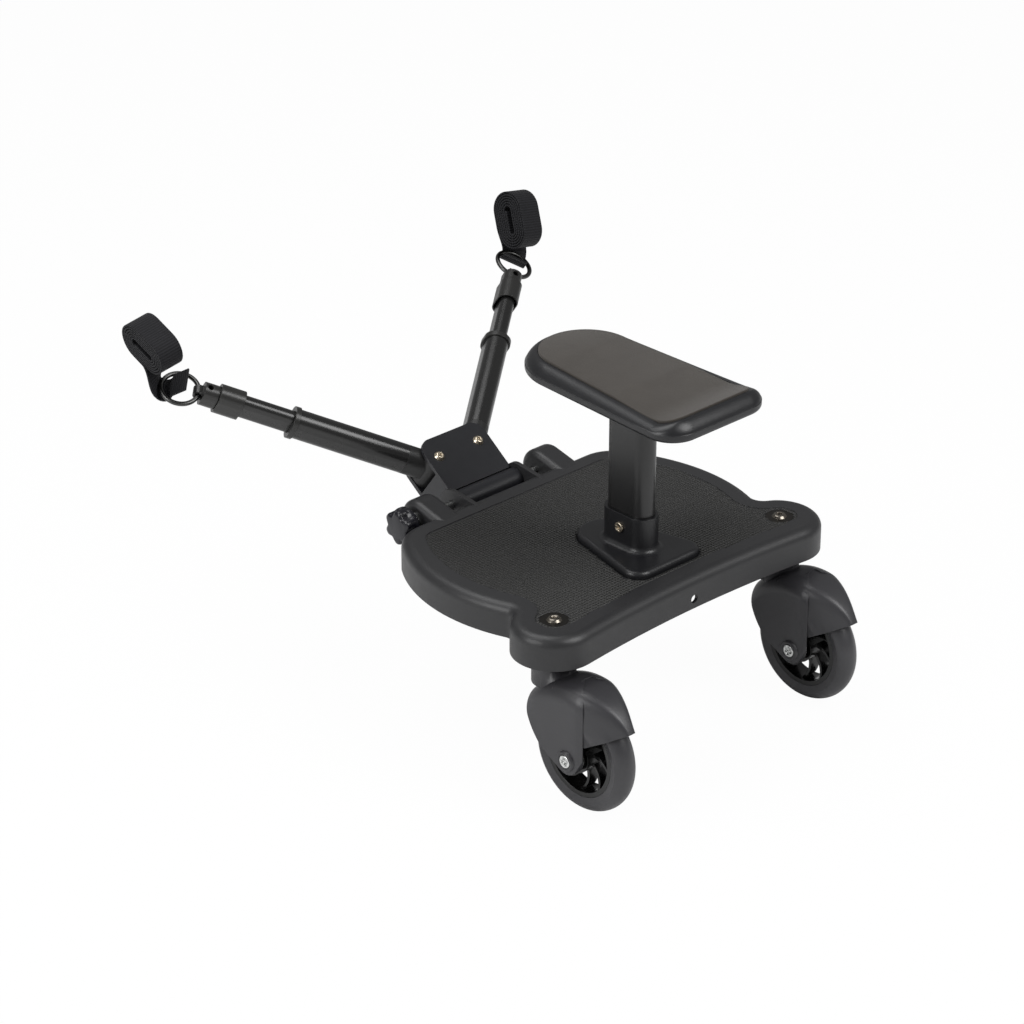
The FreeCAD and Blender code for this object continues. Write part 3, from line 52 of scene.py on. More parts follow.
FOOT_CLEAR, WASHER_CLEAR = 0.0018, 0.0125
WELD = 1e-6                       # corners nearer than this are joined
ROUND_STEPS, ROUND_PROFILE = 3, 0.5    # faces across a rounded edge, and its form, a plain arc

# Straps: the webbing, its loop round the ring and its roll
WEB_WIDTH, WEB_THICK = 0.0225, 0.0015
RING_RADIUS, RING_WIRE, WEB_GAP = 0.0158, 0.002, 0.0004
RING_REACH, RING_DROOP = 0.2262, 12
COIL_PITCH, COIL_TURNS, COIL_RADIUS, COIL_STRAIGHT = 0.0023, 6, 0.0162, 0.019
COIL_TURN, COIL_LIFT, LEAVE_ANGLE, PULL_SHARE = 43.3, 10, 45, 0.38
TAIL_LEAN, TAIL_BEND = 42, 0.006
TAIL_STEPS, BEND_STEPS, PULL_STEPS, ENTRY_STEPS, TURN_STEPS, FLAT_STEPS = 6, 8, 12, 3, 18, 4
# Each strap's tail, the place of its roll from the ring's middle, and the roll's lean
STRAPS = {
    "left": dict(tail=0.018, place=(-0.014, 0.035, 0.023), roll=-10.5),
    "right": dict(tail=0.006, place=(-0.012, 0.031, 0.019), roll=28),
}
SIDES = {"left": -1, "right": 1}

# Bracket and arms
CLAMP_AHEAD, CLAMP_HEIGHT, BRACKET_TILT = 0.216, 0.1435, 36.5
CLAMP = Vector((0, CLAMP_AHEAD - BEHIND, CLAMP_HEIGHT))
PIVOT = Vector((0.0224, 0.0434, -0.0144))
ARM_SPREAD = 48.4


def about(axis, degrees):
    """A turn about one of the axes."""
    return Matrix.Rotation(math.radians(degrees), 4, axis)


BRACKET = Matrix.Translation(CLAMP) @ about("X", BRACKET_TILT)


def arm_frame(side):
    """Where an arm's pivot lies, with y along the arm."""
    place = Vector((side * PIVOT.x, PIVOT.y, PIVOT.z))
    return BRACKET @ Matrix.Translation(place) @ about("Z", -side * ARM_SPREAD)


# Materials
COLOUR_A, COLOUR_B, COLOUR_OUT = 6, 7, 2    # a mix node's sockets for colours
EDGE_SAMPLES = 4


class Finish:
    """A material under construction: its principled shader and short ways to add and join nodes."""

    def __init__(self, name, colour, roughness, metallic=0.0, specular=0.5):
        self.material = bpy.data.materials.new(name)
        self.material.use_nodes = True
        self.tree = self.material.node_tree
        self.shader = self.tree.nodes["Principled BSDF"]
        self.set(self.shader, **{"Base Color": (*colour, 1), "Roughness": roughness, "Metallic": metallic,
                                 "Specular IOR Level": specular})
        self.colour = colour
        self.roughness = roughness
        self.place = self.add("ShaderNodeTexCoord").outputs["Object"]

    def add(self, kind, **sockets):
        node = self.tree.nodes.new(kind)
        self.set(node, **sockets)
        return node

    def set(self, node, **sockets):
        for name, value in sockets.items():
            node.inputs[name].default_value = value

    def join(self, source, target):
        self.tree.links.new(source, target)

    def noise(self, scale, detail=2.0, roughness=0.5):
        node = self.add("ShaderNodeTexNoise", Scale=scale, Detail=detail, Roughness=roughness)
        self.join(self.place, node.inputs["Vector"])
        return node.outputs["Fac"]

    def spread(self, source, low, high):
        """Maps a 0 to 1 pattern to a range of values."""
        node = self.add("ShaderNodeMapRange", **{"To Min": low, "To Max": high})
        self.join(source, node.inputs["Value"])
        return node.outputs["Result"]

    def shades(self, source, dark, light):
        """Colours between two shares of the base colour."""
        node = self.add("ShaderNodeMix")
        node.data_type = "RGBA"
        node.inputs[COLOUR_A].default_value = (*(c * dark for c in self.colour), 1)
        node.inputs[COLOUR_B].default_value = (*(c * light for c in self.colour), 1)
        self.join(source, node.inputs[0])
        self.join(node.outputs[COLOUR_OUT], self.shader.inputs["Base Color"])

    def uneven_gloss(self, source, spread):
        """Makes the surface duller and glossier by a spread of roughness."""
        self.join(self.spread(source, self.roughness - spread, self.roughness + spread),
                  self.shader.inputs["Roughness"])

    def bumps(self, heights, edge=0.0):
        """Chains (pattern, depth in metres) bumps over edges that look rounded by a small radius."""
        normal = None
        if edge:
            soft = self.add("ShaderNodeBevel", Radius=edge)
            soft.samples = EDGE_SAMPLES
            normal = soft.outputs["Normal"]
        for source, depth in heights:
            bump = self.add("ShaderNodeBump", Distance=depth)
            self.join(source, bump.inputs["Height"])
            if normal:
                self.join(normal, bump.inputs["Normal"])
            normal = bump.outputs["Normal"]
        if normal:
            self.join(normal, self.shader.inputs["Normal"])


def moulded(name, colour, roughness, grain=1400, depth=0.00006, edge=0.0007):
    """Black moulded plastic: fine spark grain, faint flow marks and edges that catch the light."""
    finish = Finish(name, colour, roughness)
    finish.shades(finish.noise(scale=14, detail=3), dark=0.85, light=1.15)
    finish.uneven_gloss(finish.noise(scale=90, detail=3), spread=0.05)
    finish.bumps([(finish.noise(grain), depth)], edge)
    return finish.material


def coated_tube(name, colour, roughness):
    """Satin powder coat on metal tube."""
    finish = Finish(name, colour, roughness)
    finish.set(finish.shader, **{"Coat Weight": 0.25, "Coat Roughness": 0.2})
    finish.shades(finish.noise(scale=30, detail=3), dark=0.85, light=1.15)
    finish.uneven_gloss(finish.noise(scale=160, detail=3), spread=0.015)
    finish.bumps([(finish.noise(scale=2200), 0.000012)], edge=0.0004)
    return finish.material


def plated(name, colour, roughness):
    """Plated steel with faint brushing and dull patches."""
    finish = Finish(name, colour, roughness, metallic=1.0)
    finish.shades(finish.noise(scale=400, detail=3), dark=0.8, light=1.1)
    finish.uneven_gloss(finish.noise(scale=700), spread=0.08)
    finish.bumps([(finish.noise(scale=3000), 0.00002)], edge=0.0003)
    return finish.material


def rubber(name, colour, roughness):
    """Smooth tyre rubber with faint scuffs."""
    finish = Finish(name, colour, roughness)
    finish.shades(finish.noise(scale=60, detail=4), dark=0.8, light=1.2)
    finish.uneven_gloss(finish.noise(scale=240, detail=4), spread=0.07)
    finish.bumps([(finish.noise(scale=900, detail=3), 0.00005)], edge=0.0006)
    return finish.material


def foam(name, colour):
    """Closed-cell foam sheet: fine pores, a cloudy surface and no gloss."""
    finish = Finish(name, colour, roughness=0.92, specular=0.2)
    finish.set(finish.shader, **{"Sheen Weight": 0.15, "Sheen Roughness": 0.5})
    cells = finish.add("ShaderNodeTexVoronoi", Scale=1300)
    finish.join(finish.place, cells.inputs["Vector"])
    cloud = finish.add("ShaderNodeMath")
    cloud.operation = "ADD"
    coarse = finish.noise(scale=45, detail=5, roughness=0.65)
    fine = finish.noise(scale=900, detail=3)
    finish.join(finish.spread(coarse, low=0.0, high=0.6), cloud.inputs[0])
    finish.join(finish.spread(fine, low=0.0, high=0.4), cloud.inputs[1])
    finish.shades(cloud.outputs[0], dark=0.72, light=1.28)
    finish.bumps([(cells.outputs["Distance"], 0.00008), (finish.noise(scale=260, detail=4), 0.00008)])
    return finish.material


def webbing(name, colour):
    """Ribbed woven tape, with its ribs across its width; its colour carries painted shade in the grooves
    between ribs and a painted highlight on the rib tops.
    """
    finish = Finish(name, colour, roughness=0.75, specular=0.3)
    finish.set(finish.shader, **{"Sheen Weight": 0.04, "Sheen Roughness": 0.4})
    along = finish.add("ShaderNodeUVMap")
    along.uv_map = "tape"
    ribs = finish.add("ShaderNodeTexWave", Scale=1.0, Distortion=0.4, Detail=1.0)
    ribs.bands_direction = "X"
    finish.join(along.outputs["UV"], ribs.inputs["Vector"])
    # Painted shade and highlight: the ribs' pattern darkens the colour in the grooves and lightens it on the
    # rib tops
    finish.shades(ribs.outputs["Fac"], dark=0.55, light=1.7)
    finish.bumps([(ribs.outputs["Fac"], 0.00025), (finish.noise(scale=1500, detail=3), 0.00006)])
    return finish.material


def paint(material, *names):
    """Gives one material to whole solids."""
    for name in names:
        mesh = nodes[name].data
        mesh.materials.clear()
        mesh.materials.append(material)


def both(*names):
    """The names of left and right solids."""
    return [f"{side}_{name}" for name in names for side in SIDES]


DECK_PLASTIC = moulded("deck_plastic", (0.0185, 0.0185, 0.0198), roughness=0.42)
TREAD_PLASTIC = moulded("tread_plastic", (0.012, 0.0118, 0.0112), roughness=0.46, grain=900, depth=0.00004,
                        edge=0)
# The forks' plastic is the deck's plastic made lighter: painted light standing in for the light that falls
# on the forks' sides
LIT_FORK_PLASTIC = moulded("fork_plastic", (0.033, 0.0325, 0.036), roughness=0.38)
SEAT_PLASTIC = moulded("seat_plastic", (0.0095, 0.0097, 0.0112), roughness=0.36)
BRACKET_PLASTIC = moulded("bracket_plastic", (0.0125, 0.0128, 0.0155), roughness=0.34)
KNOB_PLASTIC = moulded("knob_plastic", (0.007, 0.007, 0.011), roughness=0.24)
COLLAR_PLASTIC = moulded("collar_plastic", (0.017, 0.0167, 0.016), roughness=0.3)
INNER_PLASTIC = moulded("inner_plastic", (0.01, 0.01, 0.01), roughness=0.45)
HUB_PLASTIC = moulded("hub_plastic", (0.004, 0.004, 0.004), roughness=0.2, grain=600, depth=0.00003)
TUBE_COAT = coated_tube("tube_coat", (0.008, 0.008, 0.0078), roughness=0.27)
POST_COAT = coated_tube("post_coat", (0.0065, 0.0065, 0.0068), roughness=0.36)
RING_METAL = plated("ring_metal", (0.09, 0.09, 0.088), roughness=0.3)
WARM_STEEL = plated("warm_steel", (0.62, 0.54, 0.42), roughness=0.28)
ZINC_STEEL = plated("zinc_steel", (0.72, 0.73, 0.72), roughness=0.22)
DARK_STEEL = plated("dark_steel", (0.05, 0.046, 0.04), roughness=0.34)
BOLT_STEEL = plated("bolt_steel", (0.22, 0.2, 0.17), roughness=0.26)
TYRE_RUBBER = rubber("tyre_rubber", (0.038, 0.0375, 0.041), roughness=0.36)
SEAT_FOAM = foam("seat_foam", (0.05, 0.0445, 0.039))
WEBBING = webbing("webbing", (0.0065, 0.0065, 0.0082))

paint(DECK_PLASTIC, "deck")
paint(BRACKET_PLASTIC, "bracket_body", "bracket_cover")
paint(SEAT_PLASTIC, "seat_foot", "seat_pan")
paint(INNER_PLASTIC, "post_plug", *both("swivel_bush", "arm_plug"))
paint(HUB_PLASTIC, *both("wheel_hub"))
paint(COLLAR_PLASTIC, *both("end_bush", "sleeve", "tip_coupling"))
paint(TUBE_COAT, *both("outer_tube", "inner_tube", "plug_pin"))
paint(POST_COAT, "seat_post")
paint(RING_METAL, *both("ring"))
paint(ZINC_STEEL, "pivot_nuts", "foot_nut", "seat_screw", "clamp_axle", "clamp_washer", "swivel_nuts",
      *both("axle_nut", "axle_spacers", "bearings"))
paint(DARK_STEEL, "swivel_washers")
paint(TYRE_RUBBER, *both("tyre"))


# Making pieces
def new_object(name, mesh_maker, material):
    """Runs a mesh maker on an empty bmesh and puts the result in the scene."""
    bm = bmesh.new()
    mesh_maker(bm)
    mesh = bpy.data.meshes.new(name)
    bm.to_mesh(mesh)
    bm.free()
    item = bpy.data.objects.new(name, mesh)
    bpy.context.scene.collection.objects.link(item)
    mesh.materials.append(material)
    return item


def new_piece(name, mesh_maker, material, body):
    """A new object as a piece that rides on a body."""
    piece = new_object(name, mesh_maker, material)
    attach(piece, body)
    return piece


def smooth(piece, degrees=40):
    """Shades a piece smooth, apart from edges sharper than an angle."""
    piece.data.polygons.foreach_set("use_smooth", [True] * len(piece.data.polygons))
    piece.data.set_sharp_from_angle(angle=math.radians(degrees))


def shift(bm, verts, x=0.0, y=0.0, z=0.0):
    bmesh.ops.translate(bm, verts=verts, vec=(x, y, z))


def everything(bm):
    """All that a cut goes through."""
    return bm.verts[:] + bm.edges[:] + bm.faces[:]


def weld(bm):
    """Joins corners that lie in one place."""
    bmesh.ops.remove_doubles(bm, verts=bm.verts, dist=WELD)


def soften(bm, edges, radius):
    """Rounds edges by a radius."""
    bmesh.ops.bevel(bm, geom=edges, offset=radius, segments=ROUND_STEPS, profile=ROUND_PROFILE,
                    affect="EDGES", material=-1)


def grow_rows(bm, rows):
    """Extrudes a row of vertices through the given rows of spots; returns each vertex's row and column."""
    verts = [bm.verts.new(spot) for spot in rows[0]]
    edges = [bm.edges.new(pair) for pair in zip(verts, verts[1:])]
    place = {vert: (0, i) for i, vert in enumerate(verts)}
    for number, (old, spots) in enumerate(zip(rows, rows[1:]), start=1):
        grown = bmesh.ops.extrude_edge_only(bm, edges=edges)["geom"]
        new_verts = [item for item in grown if isinstance(item, bmesh.types.BMVert)]
        edges = [item for item in grown if isinstance(item, bmesh.types.BMEdge)
                 and all(vert in new_verts for vert in item.verts)]
        for vert in new_verts:
            column = min(range(len(old)), key=lambda k: (old[k] - vert.co).length)
            vert.co = spots[column]
            place[vert] = (number, column)
    return place


# Tread: a thin mat of small square studs inside the deck's raised rim
def arc_points(centre, start, end):
    """Points of the shorter arc between two points about a centre, without its last one."""
    first, last = start - centre, end - centre
    low = math.atan2(first.y, first.x)
    sweep = (math.atan2(last.y, last.x) - low + math.pi) % (2 * math.pi) - math.pi
    turns = [low + sweep * i / LINE_STEPS for i in range(LINE_STEPS)]
    return [centre + Vector((math.cos(a), math.sin(a))) * first.length for a in turns]


def deck_line(inset):
    """The deck's outline drawn in by an inset: right half first, from the front, then its mirror image."""
    middle, lobe = Vector((0, ROUND_AHEAD)), Vector((BOLT_SIDE, 0))
    corner_ahead = FRONT_EDGE - FRONT_CORNER
    corner_side = math.sqrt((ROUND_RADIUS - FRONT_CORNER) ** 2 - (corner_ahead - ROUND_AHEAD) ** 2)
    corner = Vector((corner_side, corner_ahead))
    reach_a, reach_b = ROUND_RADIUS + NECK_RADIUS, LOBE_RADIUS + NECK_RADIUS
    line = lobe - middle
    along = (reach_a ** 2 - reach_b ** 2 + line.length ** 2) / (2 * line.length)
    heading = line.normalized()
    neck = middle + heading * along + Vector((-heading.y, heading.x)) * math.sqrt(reach_a ** 2 - along ** 2)
    rear_radius = (BOLT_SIDE ** 2 + REAR_EDGE ** 2 - LOBE_RADIUS ** 2) / (2 * (LOBE_RADIUS - REAR_EDGE))
    rear = Vector((0, -REAR_EDGE - rear_radius))
    stops = [Vector((corner_side, FRONT_EDGE - inset))]
    stops.append(middle + (corner - middle).normalized() * (ROUND_RADIUS - inset))
    stops.append(middle + (neck - middle).normalized() * (ROUND_RADIUS - inset))
    stops.append(lobe + (neck - lobe).normalized() * (LOBE_RADIUS - inset))
    stops.append(lobe + (rear - lobe).normalized() * (LOBE_RADIUS - inset))
    stops.append(Vector((0, -REAR_EDGE + inset)))
    right = []
    for centre, first, last in zip((corner, middle, neck, lobe, rear), stops, stops[1:]):
        right += arc_points(centre, first, last)
    left = [Vector((-p.x, p.y)) for p in reversed(right)]
    return right + left


def inside(outline, x, y):
    """Whether a spot lies within a closed outline."""
    crossed = False
    for a, b in zip(outline, outline[1:] + outline[:1]):
        if (a.y > y) != (b.y > y) and x < a.x + (b.x - a.x) * (y - a.y) / (b.y - a.y):
            crossed = not crossed
    return crossed


TREAD_LINE = deck_line(TREAD_INSET)


def on_tread(x, y):
    """Whether a spot lies inside the deck's rim and clear of the bolts' washers."""
    off_washer = math.hypot(abs(x) - BOLT_SIDE, y) > WASHER_CLEAR
    return off_washer and inside(TREAD_LINE, x, y)


def foot_reach(x, y):
    """How far a spot, measured from the seat's post, lies outside the seat foot's outline."""
    spot = Vector((abs(x), y))
    line = FOOT_FRONT - FOOT_REAR
    share = max(0.0, min(1.0, (spot - FOOT_REAR).dot(line) / line.length_squared))
    radius = FOOT_REAR_RADIUS + (FOOT_FRONT_RADIUS - FOOT_REAR_RADIUS) * share
    rear_end = FOOT_REAR.y - FOOT_REAR_RADIUS
    front_end = FOOT_FRONT.y + FOOT_FRONT_RADIUS
    if spot.x < FOOT_REAR.x + line.x * share and rear_end < spot.y < front_end:
        return -radius
    return (spot - FOOT_REAR - line * share).length - radius


def bears_stud(spot):
    """Whether a stud stands at a spot: on the tread and clear of the seat's foot."""
    return on_tread(spot.x, spot.y) and foot_reach(spot.x, spot.y - SEAT_AHEAD) > FOOT_CLEAR


def make_tread(bm):
    columns = round(2 * ROUND_RADIUS / STUD_PITCH)
    rows = round((FRONT_EDGE + LOBE_RADIUS) / STUD_PITCH)
    # A grid one metre square, scaled to the studs' pitch
    bmesh.ops.create_grid(bm, x_segments=columns, y_segments=rows, size=0.5)
    bmesh.ops.scale(bm, verts=bm.verts, vec=(columns * STUD_PITCH, rows * STUD_PITCH, 1))
    shift(bm, bm.verts, y=(FRONT_EDGE - LOBE_RADIUS) / 2)
    outside = [face for face in bm.faces if not bears_stud(face.calc_center_median())]
    bmesh.ops.delete(bm, geom=outside, context="FACES")
    base = bmesh.ops.extrude_face_region(bm, geom=bm.faces[:], use_keep_orig=True)
    lifted = [item for item in base["geom"] if isinstance(item, bmesh.types.BMVert)]
    shift(bm, lifted, z=MAT_THICK)
    bmesh.ops.recalc_face_normals(bm, faces=bm.faces)
    studs = [face for face in bm.faces if face.normal.z > STUD_FACING]
    bmesh.ops.inset_individual(bm, faces=studs, thickness=STUD_MARGIN, depth=STUD_RISE)
    shift(bm, bm.verts, y=-BEHIND, z=DECK_TOP - TREAD_DEPTH)


new_piece("tread_mat", make_tread, TREAD_PLASTIC, "board")


# Seat pad: a foam sheet that follows the seat's dish, with a soft upper edge
PAN_REAR_RADIUS, PAN_REAR_SPREAD, PAN_REAR_BEHIND = 0.025, 0.066, 0.074
PAN_FRONT_RADIUS, PAN_FRONT_AHEAD = 0.05, 0.053
DISH_BEHIND, DISH_LOW = 0.059, 0.307
DISH_FRONT, DISH_REAR = 1.64, 0.07
PAD_INSET, PAD_THICK, PAD_ROUND, PAD_TOP = 0.0108, 0.0045, 0.0011, 0.3138
PAD_RISE, PAD_RISE_RUN, PAD_SLICES = 0.003, 0.04, 60
PAN_ARC_STEPS = 16


def pan_outline(inset):
    """Points round the seat at an inset, measured from its post, rear right corner first."""
    rear = Vector((PAN_REAR_SPREAD / 2, -PAN_REAR_BEHIND))
    front = Vector((0, PAN_FRONT_AHEAD))
    rear_radius, front_radius = PAN_REAR_RADIUS - inset, PAN_FRONT_RADIUS - inset
    lean = (rear_radius - front_radius) / (front - rear).length
    heading = (front - rear).normalized()
    normal = heading * lean + Vector((heading.y, -heading.x)) * math.sqrt(1 - lean ** 2)
    start = math.atan2(normal.y, normal.x)

    def along_arc(centre, radius, low, high):
        steps = [low + (high - low) * i / PAN_ARC_STEPS for i in range(PAN_ARC_STEPS + 1)]
        return [centre + Vector((math.cos(a), math.sin(a))) * radius for a in steps]

    right = along_arc(rear, rear_radius, -math.pi / 2, start)
    right += along_arc(front, front_radius, start, math.pi / 2)
    left = [Vector((-p.x, p.y)) for p in reversed(right[:-1])]
    return right + left


def dish_height(y):
    """The solid pad's top, at a distance ahead of the seat's post."""
    reach = y + DISH_BEHIND
    radius = DISH_FRONT if reach > 0 else DISH_REAR
    return DISH_LOW + radius - math.sqrt(radius ** 2 - reach ** 2)


def pad_height(y):
    """The drawn pad's top, which lies higher ahead of the dish's low line, up to the seat's top."""
    rise = PAD_RISE * min(max((y + DISH_BEHIND) / PAD_RISE_RUN, 0), 1)
    return min(dish_height(y) + rise, PAD_TOP)


def make_pad(bm):
    corners = [bm.verts.new((p.x, p.y, 0)) for p in pan_outline(PAD_INSET)]
    sheet = bm.faces.new(corners)
    low = min(v.co.y for v in corners)
    high = max(v.co.y for v in corners)
    raised = bmesh.ops.extrude_face_region(bm, geom=[sheet], use_keep_orig=True)
    top_verts = [item for item in raised["geom"] if isinstance(item, bmesh.types.BMVert)]
    shift(bm, top_verts, z=PAD_THICK)
    bmesh.ops.recalc_face_normals(bm, faces=bm.faces)
    rim = [edge for edge in bm.edges if all(v.co.z > PAD_THICK / 2 for v in edge.verts)]
    soften(bm, rim, PAD_ROUND)
    for i in range(1, PAD_SLICES):
        y = low + (high - low) * i / PAD_SLICES
        bmesh.ops.bisect_plane(bm, geom=everything(bm), plane_co=(0, y, 0), plane_no=(0, 1, 0))
    for vert in bm.verts:
        vert.co.z += pad_height(vert.co.y) - PAD_THICK
    shift(bm, bm.verts, y=SEAT_AHEAD - BEHIND)


pad = new_piece("foam_pad", make_pad, SEAT_FOAM, "seat")
smooth(pad)
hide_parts("seat_pad")


# Seat lip: the pan's rim, which swells up to just under the pad's upper edge all the way round
PAN_RIM_TOP = 0.302
LIP_START, LIP_END, LIP_DROP, LIP_DEPTH = 0.0003, 0.0105, 0.002, 0.001
LIP_STEPS, LIP_ROUND_SHARE = 10, 0.7


def lip_row(inset, share):
    """A closed row of spots: a share of 0 lies on the pan's rim, 1 near the pad's top, and under 0 below."""
    row = []
    for spot in pan_outline(inset):
        rise = pad_height(spot.y) - LIP_DROP - PAN_RIM_TOP if share > 0 else LIP_DEPTH
        row.append(Vector((spot.x, spot.y, PAN_RIM_TOP + rise * share)))
    return row + row[:1]


def make_lip(bm):
    rows = []
    for i in range(LIP_STEPS + 1):
        share = i / LIP_STEPS
        swell = math.sin(share * math.pi / 2) ** LIP_ROUND_SHARE
        rows.append(lip_row(LIP_START + (LIP_END - LIP_START) * share, swell))
    rows += [lip_row(LIP_END, -1), lip_row(LIP_START, -1), rows[0]]
    grow_rows(bm, rows)
    weld(bm)
    bmesh.ops.recalc_face_normals(bm, faces=bm.faces)
    shift(bm, bm.verts, y=SEAT_AHEAD - BEHIND)


smooth(new_piece("seat_lip", make_lip, SEAT_PLASTIC, "seat"))


# Star knob: a round collar behind scooped lobes with a softened face, as (distance from face, radius, scoop)
KNOB_FACE, KNOB_LOBES, KNOB_COLUMNS, KNOB_SCOOP_POWER = -0.1019, 6, 96, 1.4
KNOB_PROFILE = (
    (0.0, 0.0108, 0.0014), (0.0003, 0.0128, 0.0024), (0.0014, 0.0148, 0.0034), (0.0032, 0.0155, 0.0037),
    (0.008, 0.0155, 0.0034), (0.0096, 0.0153, 0.0006), (0.0102, 0.0153, 0.0), (0.0128, 0.0153, 0.0),
    (0.0138, 0.0144, 0.0), (0.014, 0.0085, 0.0), (0.018, 0.0085, 0.0),
)


def make_knob(bm):
    def row(distance, radius, scoop):
        """A closed row of spots round the clamp axle, drawn in by the scoop between the lobes."""
        spots = []
        for i in range(KNOB_COLUMNS):
            angle = 2 * math.pi * i / KNOB_COLUMNS
            reach = radius - scoop * (0.5 + 0.5 * math.cos(KNOB_LOBES * angle)) ** KNOB_SCOOP_POWER
            spots.append(Vector((KNOB_FACE + distance, CLAMP.y + reach * math.cos(angle),
                                 CLAMP.z + reach * math.sin(angle))))
        return spots + spots[:1]

    grow_rows(bm, [row(*station) for station in KNOB_PROFILE])
    weld(bm)
    bmesh.ops.holes_fill(bm, edges=[edge for edge in bm.edges if edge.is_boundary])
    bmesh.ops.recalc_face_normals(bm, faces=bm.faces)


knob = new_piece("star_knob", make_knob, KNOB_PLASTIC, "knob")
smooth(knob, degrees=35)
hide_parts("clamp_knob")


# Forks: a front body cut from the solid's shape, and a domed rear hood that comes out from under it
AXLE_BEHIND, AXLE_HEIGHT, FORK_HALF, SLOT_RADIUS = 0.037, 0.05, 0.0225, 0.058
STEP_AHEAD, STEP_SLANT, STEP_DROP = 0.002, 0.9, 0.0005
TAPER_START, TAPER_LENGTH, TAPER_SHARE, TAPER_POWER = 0.009, 0.024, 0.38, 1.3
TAPER_SLICE, TYRE_CLEAR, SHOULDER_REACH, SHOULDER_RUN = 0.003, 0.0141, 0.043, 0.012
HOOD_RADIUS, HOOD_END_RADIUS, HOOD_THICK, HOOD_TIP_HALF = 0.0635, 0.061, 0.0022, 0.0065
HOOD_FIRST, HOOD_LAST, HOOD_ROUND_SHARE, HOOD_SIDE_SHARE = 70, 150, 0.4, 0.42
HOOD_EDGE, HOOD_EDGE_RUN = Vector((-0.025, 0.022)), Vector((-0.025, 0.014))
HOOD_LOWEST, HOOD_FALL_POWER, HOOD_BLEND_POWER, HOOD_STATIONS, HOOD_COLUMNS = 0.025, 4, 8, 64, 40


def copied(bm, name):
    """A solid's mesh, with its corners joined, to work on."""
    bm.from_mesh(nodes[name].data)
    bm.transform(nodes[name].matrix_world)
    weld(bm)


def axle_place(name):
    """The middle of a wheel, on its axle."""
    return Vector((SIDES[name] * BOLT_SIDE, -BEHIND - AXLE_BEHIND, AXLE_HEIGHT))


def taper(behind):
    """The share of its width that a fork keeps at a distance behind the axle."""
    return 1 - TAPER_SHARE * (max(behind - TAPER_START, 0) / TAPER_LENGTH) ** TAPER_POWER


def fork_maker(name):
    """The solid, drawn in behind the axle, with its rear cut off by a slanting plane on each flank."""
    axle = axle_place(name)

    def make(bm):
        copied(bm, f"{name}_fork")
        bmesh.ops.bisect_plane(bm, geom=everything(bm), plane_co=axle, plane_no=(1, 0, 0))
        for i in range(round(SLOT_RADIUS / TAPER_SLICE)):
            place = axle - Vector((0, TAPER_START + i * TAPER_SLICE, 0))
            bmesh.ops.bisect_plane(bm, geom=everything(bm), plane_co=place, plane_no=(0, 1, 0))
        for vert in bm.verts:
            vert.co.x = axle.x + (vert.co.x - axle.x) * taper(axle.y - vert.co.y)
        for flank in (-1, 1):
            faces = [face for face in bm.faces if (face.calc_center_median().x - axle.x) * flank > 0]
            # Each edge and vertex once, in an order that is the same in every run
            edges = dict.fromkeys(edge for face in faces for edge in face.edges)
            verts = dict.fromkeys(vert for face in faces for vert in face.verts)
            bmesh.ops.bisect_plane(bm, geom=faces + list(edges) + list(verts), clear_inner=True,
                                   plane_co=axle + Vector((0, STEP_AHEAD, 0)),
                                   plane_no=(flank * STEP_SLANT, 1, 0))
        weld(bm)
        opened = [edge for edge in bm.edges if edge.is_boundary]
        bmesh.ops.holes_fill(bm, edges=opened)
        bmesh.ops.triangulate(bm, faces=[face for face in bm.faces if len(face.verts) > 4])
    return make


def ease(share):
    """Goes from 0 to 1 with level ends."""
    return share * share * (3 - 2 * share)


def hood_half(outward, reach):
    """Half the hood's width: it tapers to the rear, but stays clear of the tyre and its shoulders."""
    tapered = FORK_HALF * taper(-outward.y * reach) - STEP_DROP
    past = min(max((reach - SHOULDER_REACH) / SHOULDER_RUN, 0), 1)
    clear = TYRE_CLEAR + (HOOD_TIP_HALF - TYRE_CLEAR) * ease(past)
    return (max(tapered, 0) ** HOOD_BLEND_POWER + clear ** HOOD_BLEND_POWER) ** (1 / HOOD_BLEND_POWER)


def hood_maker(name):
    """A dome swept about the axle, which narrows to the rear and ends along a straight lower edge."""
    axle = axle_place(name)

    def row(station):
        share = station / HOOD_STATIONS
        angle = math.radians(HOOD_FIRST + (HOOD_LAST - HOOD_FIRST) * share)
        outward = Vector((0, math.cos(angle), math.sin(angle)))
        top = HOOD_RADIUS + (HOOD_END_RADIUS - HOOD_RADIUS) * share ** HOOD_FALL_POWER
        spots = []
        for i in range(HOOD_COLUMNS + 1):
            turn = math.pi * i / HOOD_COLUMNS
            rise = math.sin(turn) ** HOOD_ROUND_SHARE if 0 < i < HOOD_COLUMNS else 0.0
            reach = HOOD_LOWEST + (top - HOOD_LOWEST) * rise
            side = math.copysign(abs(math.cos(turn)) ** HOOD_SIDE_SHARE, math.cos(turn))
            spots.append(axle + Vector((hood_half(outward, reach) * side, 0, 0)) + outward * reach)
        return spots

    def make(bm):
        grow_rows(bm, [row(station) for station in range(HOOD_STATIONS + 1)])
        bmesh.ops.bisect_plane(bm, geom=everything(bm), clear_inner=True,
                               plane_co=axle + Vector((0, HOOD_EDGE.x, HOOD_EDGE.y)),
                               plane_no=(0, HOOD_EDGE_RUN.y, -HOOD_EDGE_RUN.x))
        bmesh.ops.recalc_face_normals(bm, faces=bm.faces)
        if sum((face.calc_center_median() - axle).dot(face.normal) for face in bm.faces) < 0:
            bmesh.ops.reverse_faces(bm, faces=bm.faces)
    return make


